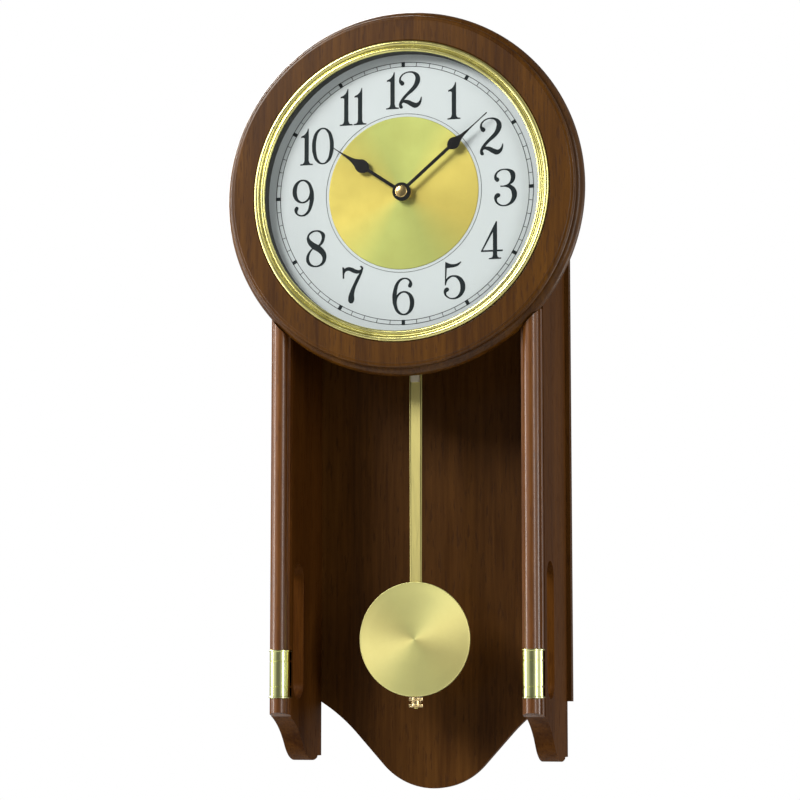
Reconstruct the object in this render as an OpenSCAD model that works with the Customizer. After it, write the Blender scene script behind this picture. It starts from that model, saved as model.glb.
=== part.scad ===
// Wall clock with a round wooden head, a swinging pendulum and a waved back panel.
// X runs to the right, Z up and Y into the wall. The origin is the centre of the
// hanger's round hole, on the rear face of the back panel.

/* [Head] */
// Outer diameter of the wooden head ring
head_d = 262; // [218:1:320]
// Width of the wood between the bezel and the ring's edge
band_w = 23; // [19:0.5:30]
// Width of the beads round the ring's edge
edge_w = 7; // [6.5:0.1:8]
// Thickness of the head ring
ring_t = 18.5; // [16:0.5:22]
// Width of the bezel's visible band
bezel_w = 8; // [6.5:0.1:10]
// Thickness of the glass
glass_t = 2; // [1.6:0.1:2.4]
// How far the dial lies behind the ring's face
dial_recess = 10.5; // [10.5:0.1:12.6]
// Thickness of the board that carries the ring and the works
head_board_t = 9; // [7.5:0.1:10.8]

/* [Dial] */
// Height of a numeral
numeral_h = 26.8; // [20:0.1:32]
// Gap between the minute track and the numerals
numeral_gap = 4.1; // [3:0.1:5]
// Gap between the numerals and the metal disc at the dial's centre
disc_gap = 5.6; // [4:0.1:8]
// Width of the minute track
track_w = 3; // [2.5:0.1:3.6]
// Gap between the bezel and the minute track
track_gap = 5.5; // [4.5:0.1:6.6]
// Thickness of the dial plate
dial_t = 1.2; // [0.8:0.1:2]

/* [Hands] */
// How far the minute hand's tip stays inside the minute track's outer edge
minute_short = 12.5; // [4:0.5:20]
// How far the hour hand's tip stays inside the circle of the numerals' centres
hour_short = 13; // [8:0.5:20]
// Minute hand's angle at rest, clockwise from 12
minute_at = 49.7; // [0:0.1:360]
// Hour hand's angle at rest, clockwise from 12
hour_at = 304.4; // [0:0.1:360]
// Thickness of a hand
hand_t = 0.8; // [0.5:0.1:1]

/* [Case] */
// Width across the side panels
case_w = 198; // [184:1:238]
// Depth from the back panel to the back of the ring
case_depth = 75.5; // [74:0.1:95]
// Thickness of a side panel
side_t = 14; // [11.6:0.1:17]
// Thickness of the back panel
back_t = 6.5; // [6:0.5:12]
// Distance of the lowest point of the tail below the dial's centre
tail_drop = 421.3; // [400:0.1:520]
// Distance of the side panels' lower ends below the dial's centre
side_drop = 398; // [394:0.5:480]
// Height of the panels' upper ends above the dial's centre
case_top = 72; // [71:0.5:74]
// How far the back panel stands out past each side panel
back_lip = 3; // [1:0.5:5]

/* [Columns] */
// Width of a column moulding
column_w = 14.4; // [12:0.1:17.4]
// How far a column stands in front of the side panel
column_out = 11.2; // [9.3:0.1:14]
// Height of a collar
collar_h = 33.6; // [20:0.2:45]
// Distance of the collars' lower ends below the dial's centre
collar_drop = 356.3; // [330:0.1:358]

/* [Pendulum] */
// Diameter of the bob
bob_d = 81; // [60:0.1:98]
// Thickness of the bob
bob_t = 2.6; // [2:0.1:5]
// Distance of the bob's centre below the dial's centre
bob_drop = 315; // [262:1:380]
// Distance of the pendulum's pivot below the dial's centre
pivot_drop = 72; // [70:1:74]
// Distance of the pendulum rod from the wall plane
rod_h = 56; // [55:0.5:57]
// Width of the rod
rod_w = 9.2; // [7.6:0.1:11.1]
// Diameter of the rating nut
nut_d = 10; // [8:0.5:14]

/* [Works] */
// Width of the movement's case
works_w = 104; // [102:0.1:125]
// Height of the movement's case
works_h = 92; // [92:1:96]
// Module of the cannon pinion and the minute wheel
motion_module = 0.6; // [0.6:0.01:0.62]

/* [Hanger] */
// Height of the hanger's round hole above the dial's centre
hanger_up = 52; // [51:0.5:53]
// Diameter of the hanger's round hole
hanger_d = 10; // [8:0.5:11]
// Width of the slot above the hanger's round hole
slot_w = 5; // [4:0.5:5]

/* [Hidden] */
$fn = 96;
gap = 0.2;          // clearance between a piece and the pocket it drops into
run = 0.05;         // radial clearance of a turning or sliding fit
wall = 1.6;         // wall of a moulded case
ink_t = 0.12;       // thickness of the dial's printing
past = 1;           // how far a cut runs past the face it starts from

// levels, measured out from the wall plane
ring_back = back_t + case_depth;
ring_face = ring_back + ring_t;
dial_h = ring_face - dial_recess;
board_back = ring_back - head_board_t;
works_d = 28;        // depth of the movement's case
works_back = ring_back - works_d;
works_split = ring_back - works_d / 2;
works_in = ring_back - wall;
train_h = ring_back - 18;
glass_h = ring_face - 0.3 - glass_t;
flange_h = ring_face - 1.6;
stem_top = dial_h + 1;
hour_h = dial_h + 3.4;
minute_h = hour_h + hand_t + 0.8;
cap_h = minute_h + hand_t;
cap_t = 1.4;

// radii about the dial's axis
head_r = head_d / 2;
board_r = head_r - 9;
bezel_r = head_r - band_w;
bezel_in = bezel_r - bezel_w;
skirt_t = 2;
skirt_r = bezel_r - 3.2;
glass_r = skirt_r - skirt_t - 2 * gap;
ring_bore = skirt_r + gap;
track_r = bezel_in - track_gap;
numeral_r = track_r - track_w - numeral_gap - numeral_h / 2;
disc_r = numeral_r - numeral_h / 2 - disc_gap;
minute_len = track_r - minute_short;
hour_len = numeral_r - hour_short;
stem_r = 4.95;
pipe_r = 3;
arbor_r = 1.8;
pivot_r = 0.5;
hub_r = 6.5;
nut_r = 6;

// the case
side_x = case_w / 2;
inner_x = side_x - side_t;
back_x = side_x + back_lip;
column_x = side_x - side_t / 2 - 0.7;
column_r = column_w / 2 - 1.6;
slot_y = [-357, -261];
slot_wide = 24;
slot_h = back_t + case_depth * 0.75;
top_t = 10;
service_x = 60;
service_y = [-56, 38];
bumper_t = 1.5;
bumper_r = 6;
plate_x = 20;
plate_y = [-11, 18];
plate_t = 1.5;
pocket_t = 5;
hanger_screw_x = 15;

// wheels: numbers of teeth, modules and places
cannon_n = 12;
minute_n = 36;
short_n = 10;
hour_n = 40;
centre_n = 60;
third_n = 64;
seconds_n = 60;
fifth_n = 50;
leaf_n = 8;
third_module = 0.3;
seconds_module = 0.25;
fifth_module = 0.2;
centre_module = 0.4;
setter_turn = 150;
third_turn = 30;
seconds_turn = 90;
fifth_turn = 150;
rotor_turn = 180;
function polar(r, a) = [r * cos(a), r * sin(a)];
// distance between the axes of two wheels in mesh
function span(n_a, n_b, module_mm) = (n_a + n_b) / 2 * module_mm;
// turn that puts a wheel of n_b teeth in mesh with one of n_a teeth that is turned by a
function in_mesh(n_a, a, n_b, way) = way + 180 - (a - way) * n_a / n_b + 180 / n_b;
motion_span = span(cannon_n, minute_n, motion_module);
hour_module = 2 * motion_span / (short_n + hour_n);
setter_at = polar(motion_span, setter_turn);
third_at = polar(span(centre_n, leaf_n, centre_module), third_turn);
seconds_at = third_at + polar(span(third_n, leaf_n, third_module), seconds_turn);
fifth_at = seconds_at + polar(span(seconds_n, short_n, seconds_module), fifth_turn);
rotor_at = fifth_at + polar(span(fifth_n, short_n, fifth_module), rotor_turn);

// the works
post_at = [[27, 35], [-27, 35], [27, -9], [-27, -9]];
train_t = 1.2;
train_low = [-31, -13];
train_high = [31, 39];
setter_r = 1.5;
knob_t = 7.4;
knob_gap = 0.4;
cell_r = 7;
cell_len = 50;
bay_x = cell_len / 2 + 3.4;
bay_y = [-works_h / 2 + 1.8, -works_h / 2 + 1.8 + 4 * cell_r + 3 * gap];
circuit_y = [20, works_h / 2 - 2.4];
control_y = 32;
volume_x = 38;
chime_x = 16;
night_x = -16;
demo_x = -38;
lever_travel = 6;
coil_y = rotor_at[1] + 8;
stator_h = ring_back - 5.5;

// the pendulum's drive, rod and bob
drive_x = 30;
drive_y = [-pivot_drop - 40, -pivot_drop + 10];
drive_back = board_back - 26;
drive_split = board_back - 6;
pin_r = 1;
rod_t = 1;
rod_top = -124.5;
window_x = 3.7;
window_y = [-130, -125.5];
bob_r = bob_d / 2;
bob_back = rod_h + 1.8;
bob_foot = -bob_drop - bob_r;
stud_r = 1.5;
stud_block_y = [bob_foot + 3.5, bob_foot + 11.5];
tongue_t = 1.6;
nut_len = 6.8;
nut_top = bob_foot - 0.5;

// half of the tail: a round end, a straight flank, then a hollow up to the notch
tail_r = 50;
tail_slope = 48;
tail_run = 30.5;
hollow_r = 126.6;
tail_centre = [0, tail_r - tail_drop];
tail_first = tail_centre + polar(tail_r, tail_slope - 90);
tail_second = tail_first + polar(tail_run, tail_slope);
hollow_at = tail_second + polar(hollow_r, tail_slope - 90);
notch_x = inner_x + 0.7;
notch_y = hollow_at[1] + sqrt(pow(hollow_r, 2) - pow(notch_x - hollow_at[0], 2));

// the ogee under a side panel: a hollow from the foot to the heel, then a round nose
nose_r = 32;
foot_sag = 3;
foot = [ring_back + 4, 30 - side_drop];
heel = [back_t + 45.5, 9 - side_drop];
nose_at = [back_t + 20.5, nose_r - 3 - side_drop];

// the loudspeaker and the screws
speaker_at = [-58, -72];
speaker_r = 22;
speaker_screw_r = 19.5;
speaker_rim_t = 2;
basket_t = 8;
magnet_r = 12;
magnet_t = 9;
drive_screws = [[-26, -66.5], [26, -66.5], [-26, -107.5], [26, -107.5]];
works_screws = [[-58, 0], [58, 0]];
case_screw_r = 1.3;
screw_head_r = 2.6;
screw_head_t = 1.8;
bracket_t = 1.2;

// ---- frames and shared shapes ----

// x to the right and y up from the dial's centre, z out from the wall plane
module at_dial() translate([0, 0, -hanger_up]) rotate([90, 0, 0]) children();

module both_sides() {
    children();
    mirror([1, 0, 0]) children();
}

// a block between two corners
module block(low, high) translate(low) cube(high - low);

// a disc or tube about the z axis, from one level to another
module tube(r, from, to, hole = 0) translate([0, 0, from]) difference() {
    cylinder(r = r, h = to - from);
    if (hole > 0) translate([0, 0, -past]) cylinder(r = hole, h = to - from + 2 * past);
}

// the same about an upright axis that stands out from the wall by a distance
module upright(r, low, high, out, hole = 0)
    translate([0, 0, out]) rotate([-90, 0, 0]) tube(r, low, high, hole);

// an outline drawn as (out, up) and given a thickness along x
module sideways(from, t) translate([from + t, 0, 0]) rotate([0, -90, 0])
    linear_extrude(t) children();

// a section drawn as (x, out) and run from one height to another
module standing(low, high) translate([0, high, 0]) rotate([90, 0, 0])
    linear_extrude(high - low) children();

module gear_outline(n, module_mm) {
    pitch_r = n * module_mm / 2;
    root_r = pitch_r - 1.15 * module_mm;
    tip_r = pitch_r + 0.7 * module_mm;
    step = 360 / n;
    polygon([for (i = [0 : n - 1]) each [
        polar(root_r, (i - 0.26) * step),
        polar(tip_r, (i - 0.09) * step),
        polar(tip_r, (i + 0.09) * step),
        polar(root_r, (i + 0.26) * step)]]);
}

module gear(n, module_mm, from, to, turn = 0, hole = 0)
    translate([0, 0, from]) rotate(turn) linear_extrude(to - from) difference() {
        gear_outline(n, module_mm);
        if (hole > 0) circle(r = hole);
    }

// ---- wooden case ----

module tail_outline() {
    translate(tail_centre) circle(r = tail_r, $fn = 180);
    both_sides() {
        polygon([[0, notch_y], tail_centre, tail_first, tail_second, [tail_second[0], notch_y]]);
        difference() {
            translate(tail_second) square([notch_x, notch_y] - tail_second);
            translate(hollow_at) circle(r = hollow_r, $fn = 240);
        }
    }
}

module back_panel() color("#4a2c14") at_dial() difference() {
    linear_extrude(back_t) difference() {
        union() {
            translate([-back_x, notch_y]) square([2 * back_x, case_top - notch_y]);
            tail_outline();
        }
        translate([-service_x, service_y[0]])
            square([2 * service_x, service_y[1] - service_y[0]]);
    }
    translate([0, hanger_up, 0]) {
        block([-plate_x - gap, plate_y[0] - gap, -past],
            [plate_x + gap, plate_y[1] + gap, plate_t]);
        block([-plate_x + 10, plate_y[0] + 3, 0], [plate_x - 10, plate_y[1] - 2, pocket_t]);
        for (x = [-1, 1])
            translate([x * hanger_screw_x, 0, 0]) cylinder(r = case_screw_r, h = pocket_t);
    }
}

// the hollow cut under a column, from its foot to the heel of the nose
module foot_hollow() {
    chord = foot - heel;
    r = (pow(norm(chord) / 2, 2) + pow(foot_sag, 2)) / (2 * foot_sag);
    away = [chord[1], -chord[0]] / norm(chord);
    intersection() {
        translate((foot + heel) / 2 + away * (r - foot_sag)) circle(r = r, $fn = 240);
        translate(heel) square([100, 60]);
    }
}

module side_outline() difference() {
    union() {
        translate([back_t, heel[1]]) square([case_depth, case_top - heel[1]]);
        translate([back_t, -side_drop]) square([nose_at[0] - back_t, heel[1] + side_drop]);
        intersection() {
            translate(nose_at) circle(r = nose_r, $fn = 180);
            translate([back_t + 9.5, -side_drop - 10])
                square([heel[0] - back_t - 9.5, heel[1] + side_drop + 10]);
        }
    }
    foot_hollow();
}

module side_panel() difference() {
    sideways(inner_x, side_t) side_outline();
    tube(board_r + gap, board_back, ring_face);
    hull() for (y = [slot_y[0] + slot_wide / 2, slot_y[1] - slot_wide / 2])
        translate([inner_x - past, y, slot_h]) rotate([0, 90, 0])
            cylinder(d = slot_wide, h = side_t + 2 * past, $fn = 32);
}

module right_side_panel() color("#5c3318") at_dial() side_panel();
module left_side_panel() color("#5c3318") at_dial() mirror([1, 0, 0]) side_panel();

module top_board() color("#4a2c14") at_dial()
    block([-inner_x, case_top - top_t, back_t], [inner_x, case_top, board_back]);

// half-round moulding on two flat fillets
module column_section() translate([column_x, ring_back]) {
    translate([-column_w / 2, 0]) square([column_w, column_out - column_r]);
    translate([0, column_out - column_r]) circle(r = column_r);
}

module column() difference() {
    standing(-side_drop, -head_r / 2) column_section();
    tube(head_r + gap, 0, 2 * ring_face);
    sideways(inner_x - 10, side_t + 20) {
        foot_hollow();
        translate([0, -side_drop - past]) square([2 * ring_face, heel[1] + side_drop + past]);
    }
}

module right_column() color("#8a5a36") at_dial() column();
module left_column() color("#8a5a36") at_dial() mirror([1, 0, 0]) column();

// sleeve round a column, with a rim at each end and a groove near each rim
module collar() {
    low = -collar_drop;
    high = collar_h - collar_drop;
    sleeve_t = 0.6;
    rim = 0.4;
    rim_h = 0.8;
    groove_up = 7.8;
    steps = [[low, rim], [low + rim_h, 0], [low + groove_up, -rim],
        [low + groove_up + rim_h, 0], [high - groove_up - rim_h, -rim],
        [high - groove_up, 0], [high - rim_h, rim], [high, 0]];
    for (i = [0 : len(steps) - 2]) standing(steps[i][0], steps[i + 1][0]) difference() {
        half = column_w / 2 + steps[i][1];
        level = column_out - column_w / 2 + sleeve_t;
        translate([column_x, ring_back]) {
            translate([-half, 0]) square([2 * half, level]);
            translate([0, level]) circle(r = half);
        }
        translate([column_x - side_t, 0]) square([2 * side_t, ring_back]);
        column_section();
    }
}

module right_collar() color("#e8d27a") at_dial() collar();
module left_collar() color("#e8d27a") at_dial() mirror([1, 0, 0]) collar();

// ---- head ----

module head_board() color("#6b4a2a") at_dial() difference() {
    tube(board_r, board_back, ring_back);
    block([-works_w / 2 - gap, -works_h / 2 - gap, 0],
        [works_w / 2 + gap, works_h / 2 + gap, ring_face]);
    for (p = case_screw_places()) translate(p) cylinder(r = case_screw_r, h = ring_face);
}

module head_ring() color("#5a3212") at_dial() rotate_extrude($fn = 180) {
    face_r = head_r - edge_w;
    bead_r = 2.6;
    edge_r = 6.3;
    translate([ring_bore, ring_back]) square([face_r - ring_bore, flange_h - ring_back]);
    translate([bezel_r + gap, ring_back]) square([face_r - bezel_r - gap, ring_t]);
    translate([ring_bore, ring_back]) square([head_r - 5 - ring_bore, ring_t - 5.5]);
    translate([ring_bore, ring_back]) square([face_r - ring_bore, ring_t - bead_r]);
    translate([face_r, ring_face - 3.1]) circle(r = bead_r);
    translate([head_r - edge_r, ring_back + edge_r + 0.1]) circle(r = edge_r);
    translate([head_r - edge_r - 8, ring_back]) square([8, 2 * edge_r]);
}

module bezel() color("#d8cf8c") at_dial() rotate_extrude($fn = 180) {
    lip = glass_h + glass_t;
    translate([skirt_r - skirt_t, flange_h]) square([bezel_r - skirt_r + skirt_t, lip - flange_h]);
    translate([skirt_r - skirt_t, dial_h + 1]) square([skirt_t, flange_h - dial_h - 1]);
    translate([bezel_in, lip]) square([bezel_w, 0.6]);
    for (bead = [[bezel_r - 1.9, 1.9], [bezel_in + 1.6, 1.6]]) intersection() {
        translate([bead[0], lip + 0.1]) circle(r = bead[1]);
        translate([bezel_in, lip]) square([bezel_w, 4]);
    }
}

module glass() color([0.85, 0.92, 0.92, 0.35]) at_dial() tube(glass_r, glass_h, glass_h + glass_t);

module spacer_ring() color("#1e1a14") at_dial() tube(glass_r, dial_h, glass_h, bezel_in + 0.2);

module dial_board() color("#9a7b52") at_dial()
    tube(ring_bore - gap, ring_back, dial_h - dial_t, stem_r + gap);

module dial_plate() color("#eef3f0") at_dial()
    tube(glass_r, dial_h - dial_t, dial_h, stem_r + gap);

module dial_disc() color("#cfc878") at_dial()
    tube(disc_r, dial_h, dial_h + 0.4, stem_r + gap);

// ---- printing on the dial ----

// a stroke along an arc: from the angle a, through a sweep, thick at its middle
module arc_stroke(rx, ry, a, sweep, thin, thick) {
    n = 14;
    function at(t, side) = let (w = thin + (thick - thin) * sin(180 * t))
        [(rx + side * w / 2) * cos(a + sweep * t), (ry + side * w / 2) * sin(a + sweep * t)];
    polygon([for (i = [0 : n]) at(i / n, 1), for (i = [n : -1 : 0]) at(i / n, -1)]);
}

// an upright oval, thick at its sides and thin at its top and bottom
module oval(rx, ry, thick, thin) difference() {
    scale([rx, ry]) circle(r = 1, $fn = 40);
    scale([rx - thick, ry - thin]) circle(r = 1, $fn = 40);
}

// a numeral of height 100, centred; thick and thin strokes with flat feet
module digit(n) {
    thick = 13;
    thin = 4;
    module bar(low, high) translate(low) square(high - low);
    if (n == 0) oval(29, 50, thick, thin);
    if (n == 1) {
        bar([-thick / 2, -50], [thick / 2, 50]);
        bar([-18, -50], [18, -50 + thin]);
        polygon([[-thick / 2, 50], [-18, 36], [-18, 32], [-thick / 2, 40]]);
    }
    if (n == 2) {
        translate([0, 24]) arc_stroke(23, 23, 170, -210, thin, thick);
        translate([-18, 22]) circle(r = 7, $fn = 16);
        polygon([[16, 12], [23, 10], [-18, -38], [-27, -42]]);
        polygon([[-27, -50], [24, -50], [29, -30], [25, -30], [20, -38], [-27, -42]]);
    }
    if (n == 3) {
        translate([-2, 26]) arc_stroke(21, 22, 150, -240, thin, thick);
        translate([-2, -22]) arc_stroke(25, 26, 90, -240, thin, thick);
        for (y = [30, -30]) translate([-20, y]) circle(r = 7, $fn = 16);
    }
    if (n == 4) {
        bar([6, -50], [6 + thick, 50]);
        bar([-6, -50], [30, -50 + thin]);
        bar([-32, -26], [32, -20]);
        polygon([[-32, -22], [8, 50], [8, 40], [-27, -22]]);
    }
    if (n == 5) {
        translate([-2, -18]) arc_stroke(27, 30, 130, -260, thin, thick);
        bar([-23, -2], [-19, 48]);
        polygon([[-23, 50], [22, 50], [14, 36], [-23, 36]]);
        translate([-20, -28]) circle(r = 7, $fn = 16);
    }
    if (n == 6 || n == 9) rotate(n == 9 ? 180 : 0) {
        translate([1, -20]) oval(27, 30, thick, thin);
        translate([13, 0]) arc_stroke(37, 48, 90, 96, thin, thick);
        translate([17, 38]) circle(r = 7, $fn = 16);
    }
    if (n == 7) {
        bar([-26, 38], [27, 50]);
        polygon([[19, 42], [27, 44], [6, -10], [4, -50], [-10, -50], [-5, -10]]);
        bar([-26, 26], [-22, 50]);
    }
    if (n == 8) {
        translate([0, 26]) oval(21, 24, thick - 3, thin);
        translate([0, -23]) oval(27, 27, thick, thin);
    }
}

module numeral(hour) scale(numeral_h / 100) if (hour < 10) digit(hour);
    else {
        translate([-30, 0]) digit(1);
        translate([hour == 11 ? 22 : 26, 0]) digit(hour - 10);
    }

module dial_numerals() color("#1d2b2e") at_dial() for (hour = [1 : 12])
    translate([numeral_r * sin(30 * hour), numeral_r * cos(30 * hour), dial_h])
        linear_extrude(ink_t) numeral(hour);

module minute_track() color("#1d2b2e") at_dial() {
    line = 0.5;
    inner = track_r - track_w;
    translate([0, 0, dial_h]) linear_extrude(ink_t) {
        for (r = [inner, track_r]) difference() {
            circle(r = r + line / 2, $fn = 180);
            circle(r = r - line / 2, $fn = 180);
        }
        for (i = [0 : 59]) rotate(6 * i) translate([inner, i % 5 == 0 ? -0.9 : -line / 2])
            square([track_r - inner, i % 5 == 0 ? 1.8 : line]);
    }
    tube(disc_r + 2.3, dial_h, dial_h + ink_t, disc_r + 1.8);
}

// ---- hanging and resting on the wall ----

module hanger_plate() color("#b9b9b4") at_dial() translate([0, hanger_up, 0]) difference() {
    block([-plate_x, plate_y[0], 0], [plate_x, plate_y[1], plate_t]);
    translate([0, 0, -past]) {
        cylinder(d = hanger_d, h = plate_t + 2 * past);
        translate([-slot_w / 2, 0, 0]) cube([slot_w, hanger_d + 0.5, plate_t + 2 * past]);
        translate([0, hanger_d + 0.5, 0]) cylinder(d = slot_w, h = plate_t + 2 * past);
    }
    for (x = [-1, 1]) translate([x * hanger_screw_x, 0, -past])
        cylinder(r = case_screw_r + gap, h = plate_t + 2 * past);
}

module hanger_screws() color("#c9c9c4") at_dial() for (x = [-1, 1])
    translate([x * hanger_screw_x, hanger_up, 0]) {
        tube(case_screw_r, 0, pocket_t);
        tube(screw_head_r, -0.9, 0);
    }

module wall_bumpers() color("#3a3a3a") at_dial() for (x = [-1, 1], y = [case_top - 12, notch_y + 18])
    translate([x * (inner_x + side_t / 2), y, -bumper_t]) cylinder(r = bumper_r, h = bumper_t);

// ---- movement: its case and what stays still in it ----

// walls of one half of the case, between two levels
module works_walls(from, to) difference() {
    block([-works_w / 2, -works_h / 2, from], [works_w / 2, works_h / 2, to]);
    block([wall - works_w / 2, wall - works_h / 2, from - past],
        [works_w / 2 - wall, works_h / 2 - wall, to + past]);
}

module movement_front() color("#2b2b2b") at_dial() difference() {
    union() {
        works_walls(works_split, ring_back);
        block([-works_w / 2, -works_h / 2, works_in], [works_w / 2, works_h / 2, ring_back]);
        tube(stem_r, works_in, stem_top);
        for (p = post_at) translate(p) tube(2, train_h + train_t, works_in);
    }
    tube(pipe_r + run, 0, 2 * ring_face);
    for (p = [third_at, seconds_at, fifth_at, rotor_at]) translate(p)
        tube(pivot_r + run, 0, works_in + 0.8);
    translate(setter_at) tube(1 + run, 0, works_in + 0.8);
}

module movement_rear() color("#202020") at_dial() difference() {
    union() {
        works_walls(works_back, works_split);
        block([-works_w / 2, -works_h / 2, works_back],
            [works_w / 2, works_h / 2, works_back + wall]);
        block([-bay_x - wall, bay_y[0] - gap, works_back],
            [bay_x + wall, bay_y[1] + wall, works_split]);
        for (x = [-1, 1], y = [circuit_y[0] + 2, circuit_y[1] - 2])
            translate([x * (works_w / 2 - 5), y, 0]) tube(1.5, works_back, works_back + 3.4);
    }
    block([-bay_x, bay_y[0], works_back - past], [bay_x, bay_y[1], works_split - wall + 0.2]);
    translate(setter_at) tube(setter_r + run, 0, works_split);
    translate([volume_x, control_y]) tube(3 + run, 0, works_split);
    for (x = [chime_x, night_x]) block([x - lever_travel / 2 - 2 - gap, control_y - 2 - gap, 0],
        [x + lever_travel / 2 + 2 + gap, control_y + 2 + gap, works_split]);
    translate([demo_x, control_y]) tube(3 + run, 0, works_split);
}

module train_plate() color("#c8b070") at_dial() difference() {
    block([train_low[0], train_low[1], train_h], [train_high[0], train_high[1], train_h + train_t]);
    tube(1 + run, 0, ring_face);
    for (p = [third_at, seconds_at, fifth_at, rotor_at]) translate(p)
        tube(pivot_r + run, 0, ring_face);
    translate(setter_at) tube(setter_r + run, 0, ring_face);
}

module fixing_nut() color("#cdbb6a") at_dial() tube(nut_r, dial_h + 0.4, stem_top + 1.2, stem_r);

module circuit_board() color("#2f6b3a") at_dial() difference() {
    block([-works_w / 2 + 3, circuit_y[0], works_back + 3.4],
        [works_w / 2 - 3, circuit_y[1], works_back + 5]);
    for (x = [volume_x, chime_x, night_x, demo_x]) translate([x, control_y, 0])
        cylinder(r = 1.5, h = ring_face);
}

module motor_coil() color("#b5622d") at_dial()
    translate([0, coil_y, stator_h]) rotate([0, 90, 0]) tube(2.8, -12, 12, 1);

module stator() color("#9a9a9a") at_dial() difference() {
    union() {
        block([-18, rotor_at[1] - 5, stator_h - 0.5], [18, rotor_at[1] + 4.6, stator_h + 0.5]);
        for (x = [-1, 1]) translate([x * 16, 0, 0])
            block([-2, rotor_at[1] - 1, stator_h - 0.5], [2, coil_y + 1.5, stator_h + 0.5]);
        translate([0, coil_y, stator_h]) rotate([0, 90, 0]) tube(1, -15, 15);
    }
    translate(rotor_at) tube(3.5, 0, ring_face);
    for (p = [fifth_at, seconds_at]) translate(p) tube(1.2, 0, ring_face);
}

module battery_cells() color("#5f6a70") at_dial() for (i = [0, 1])
    translate([0, bay_y[0] + gap + cell_r + i * (2 * cell_r + gap), works_split - wall - cell_r])
        rotate([0, i == 0 ? 90 : -90, 0]) {
            tube(cell_r, -cell_len / 2, cell_len / 2 - 1.5);
            tube(2.7, cell_len / 2 - 1.5, cell_len / 2);
        }

module battery_contacts() color("#c0c0c0") at_dial() for (i = [0, 1], side = [-1, 1])
    translate([0, bay_y[0] + gap + cell_r + i * (2 * cell_r + gap), works_split - wall - cell_r])
        rotate([0, 90, 0]) mirror([0, 0, side < 0 ? 1 : 0]) {
            tube(4, bay_x - 0.5, bay_x);
            tube(2.2, cell_len / 2, bay_x - 0.5);
        }

module works_bracket() color("#8f8f8c") at_dial() for (side = [0, 1]) mirror([side, 0, 0])
    difference() {
        union() {
            block([works_w / 2, -8, board_back - bracket_t], [works_w / 2 + 12, 8, board_back]);
            block([works_w / 2, -8, works_split + 1], [works_w / 2 + bracket_t, 8, board_back]);
        }
        translate([abs(works_screws[0][0]), 0, 0]) cylinder(r = case_screw_r + gap, h = ring_face);
    }

// ---- loudspeaker ----

module speaker_frame() color("#3c3c3c") at_dial() translate(speaker_at) difference() {
    union() {
        tube(speaker_r, board_back - speaker_rim_t, board_back);
        translate([0, 0, board_back - speaker_rim_t - basket_t])
            cylinder(r1 = magnet_r, r2 = 16.6, h = basket_t, $fn = 48);
    }
    translate([0, 0, board_back - basket_t]) cylinder(r1 = 10, r2 = 16.2, h = 9, $fn = 48);
    translate([0, 0, board_back - basket_t - 3]) cylinder(r = 10, h = 4);
    for (a = [45 : 90 : 315]) translate(polar(speaker_screw_r, a))
        cylinder(r = case_screw_r + gap, h = ring_face);
}

module speaker_cone() color("#d9d4c8") at_dial() translate(speaker_at) difference() {
    translate([0, 0, board_back - 7]) cylinder(r1 = 7, r2 = 15.5, h = 7, $fn = 48);
    translate([0, 0, board_back - 6]) cylinder(r1 = 6.6, r2 = 15.1, h = 7, $fn = 48);
}

module speaker_magnet() color("#6d6d6d") at_dial() translate(speaker_at)
    tube(magnet_r, board_back - speaker_rim_t - basket_t - magnet_t,
        board_back - speaker_rim_t - basket_t);

// ---- pendulum drive ----

module pendulum_case() color("#262626") at_dial() difference() {
    block([-drive_x, drive_y[0], drive_split], [drive_x, drive_y[1], board_back]);
    block([wall - drive_x, drive_y[0] + wall, drive_split - past],
        [drive_x - wall, drive_y[1] - wall, board_back - wall]);
    block([-16, drive_y[0] - past, drive_split - past], [16, drive_y[0] + 2 * wall, board_back - wall]);
    translate([0, -pivot_drop, 0]) cylinder(r = pin_r, h = board_back - 0.6);
    for (p = drive_screws) translate(p) cylinder(r = case_screw_r + gap, h = ring_face);
}

module pendulum_cover() color("#303030") at_dial() difference() {
    block([-drive_x, drive_y[0], drive_back], [drive_x, drive_y[1], drive_split]);
    block([wall - drive_x, drive_y[0] + wall, drive_back + wall],
        [drive_x - wall, drive_y[1] - wall, drive_split + past]);
    block([-16, drive_y[0] - past, drive_back + wall], [16, drive_y[0] + 2 * wall, drive_split + past]);
    translate([0, -pivot_drop, drive_back + 0.6]) cylinder(r = pin_r, h = 30);
    for (p = drive_screws) translate(p) cylinder(r = case_screw_r + gap, h = ring_face);
}

module pivot_pin() color("#d0d0d0") at_dial() translate([0, -pivot_drop, 0])
    tube(pin_r, drive_back + 0.6, board_back - 0.6);

module pendulum_coil() color("#b5622d") at_dial() translate([0, -pivot_drop - 26, 0])
    tube(8, rod_h + 8, board_back - wall, 2.5);

function case_screw_places() = concat(drive_screws, works_screws,
    [for (a = [45 : 90 : 315]) speaker_at + polar(speaker_screw_r, a)]);

module screw(seat, tip) {
    tube(case_screw_r, seat, tip);
    tube(screw_head_r, seat - screw_head_t, seat);
}

// every screw that goes into the head board, each seated on what it holds
module case_screws() color("#c4c4bf") at_dial() {
    tip = board_back + 7;
    for (p = drive_screws) translate(p) screw(drive_back, tip);
    for (p = works_screws) translate(p) screw(board_back - bracket_t, tip);
    for (a = [45 : 90 : 315]) translate(speaker_at + polar(speaker_screw_r, a))
        screw(board_back - speaker_rim_t, tip);
}

// ---- motion work and hands ----

module minute_arbor() color("#c9a44a") at_dial() {
    tube(1, train_h + 0.1, train_h + 2);
    tube(arbor_r, train_h + 2, cap_h);
    gear(cannon_n, motion_module, ring_back - 10, ring_back - 6.6, 0);
}

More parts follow.
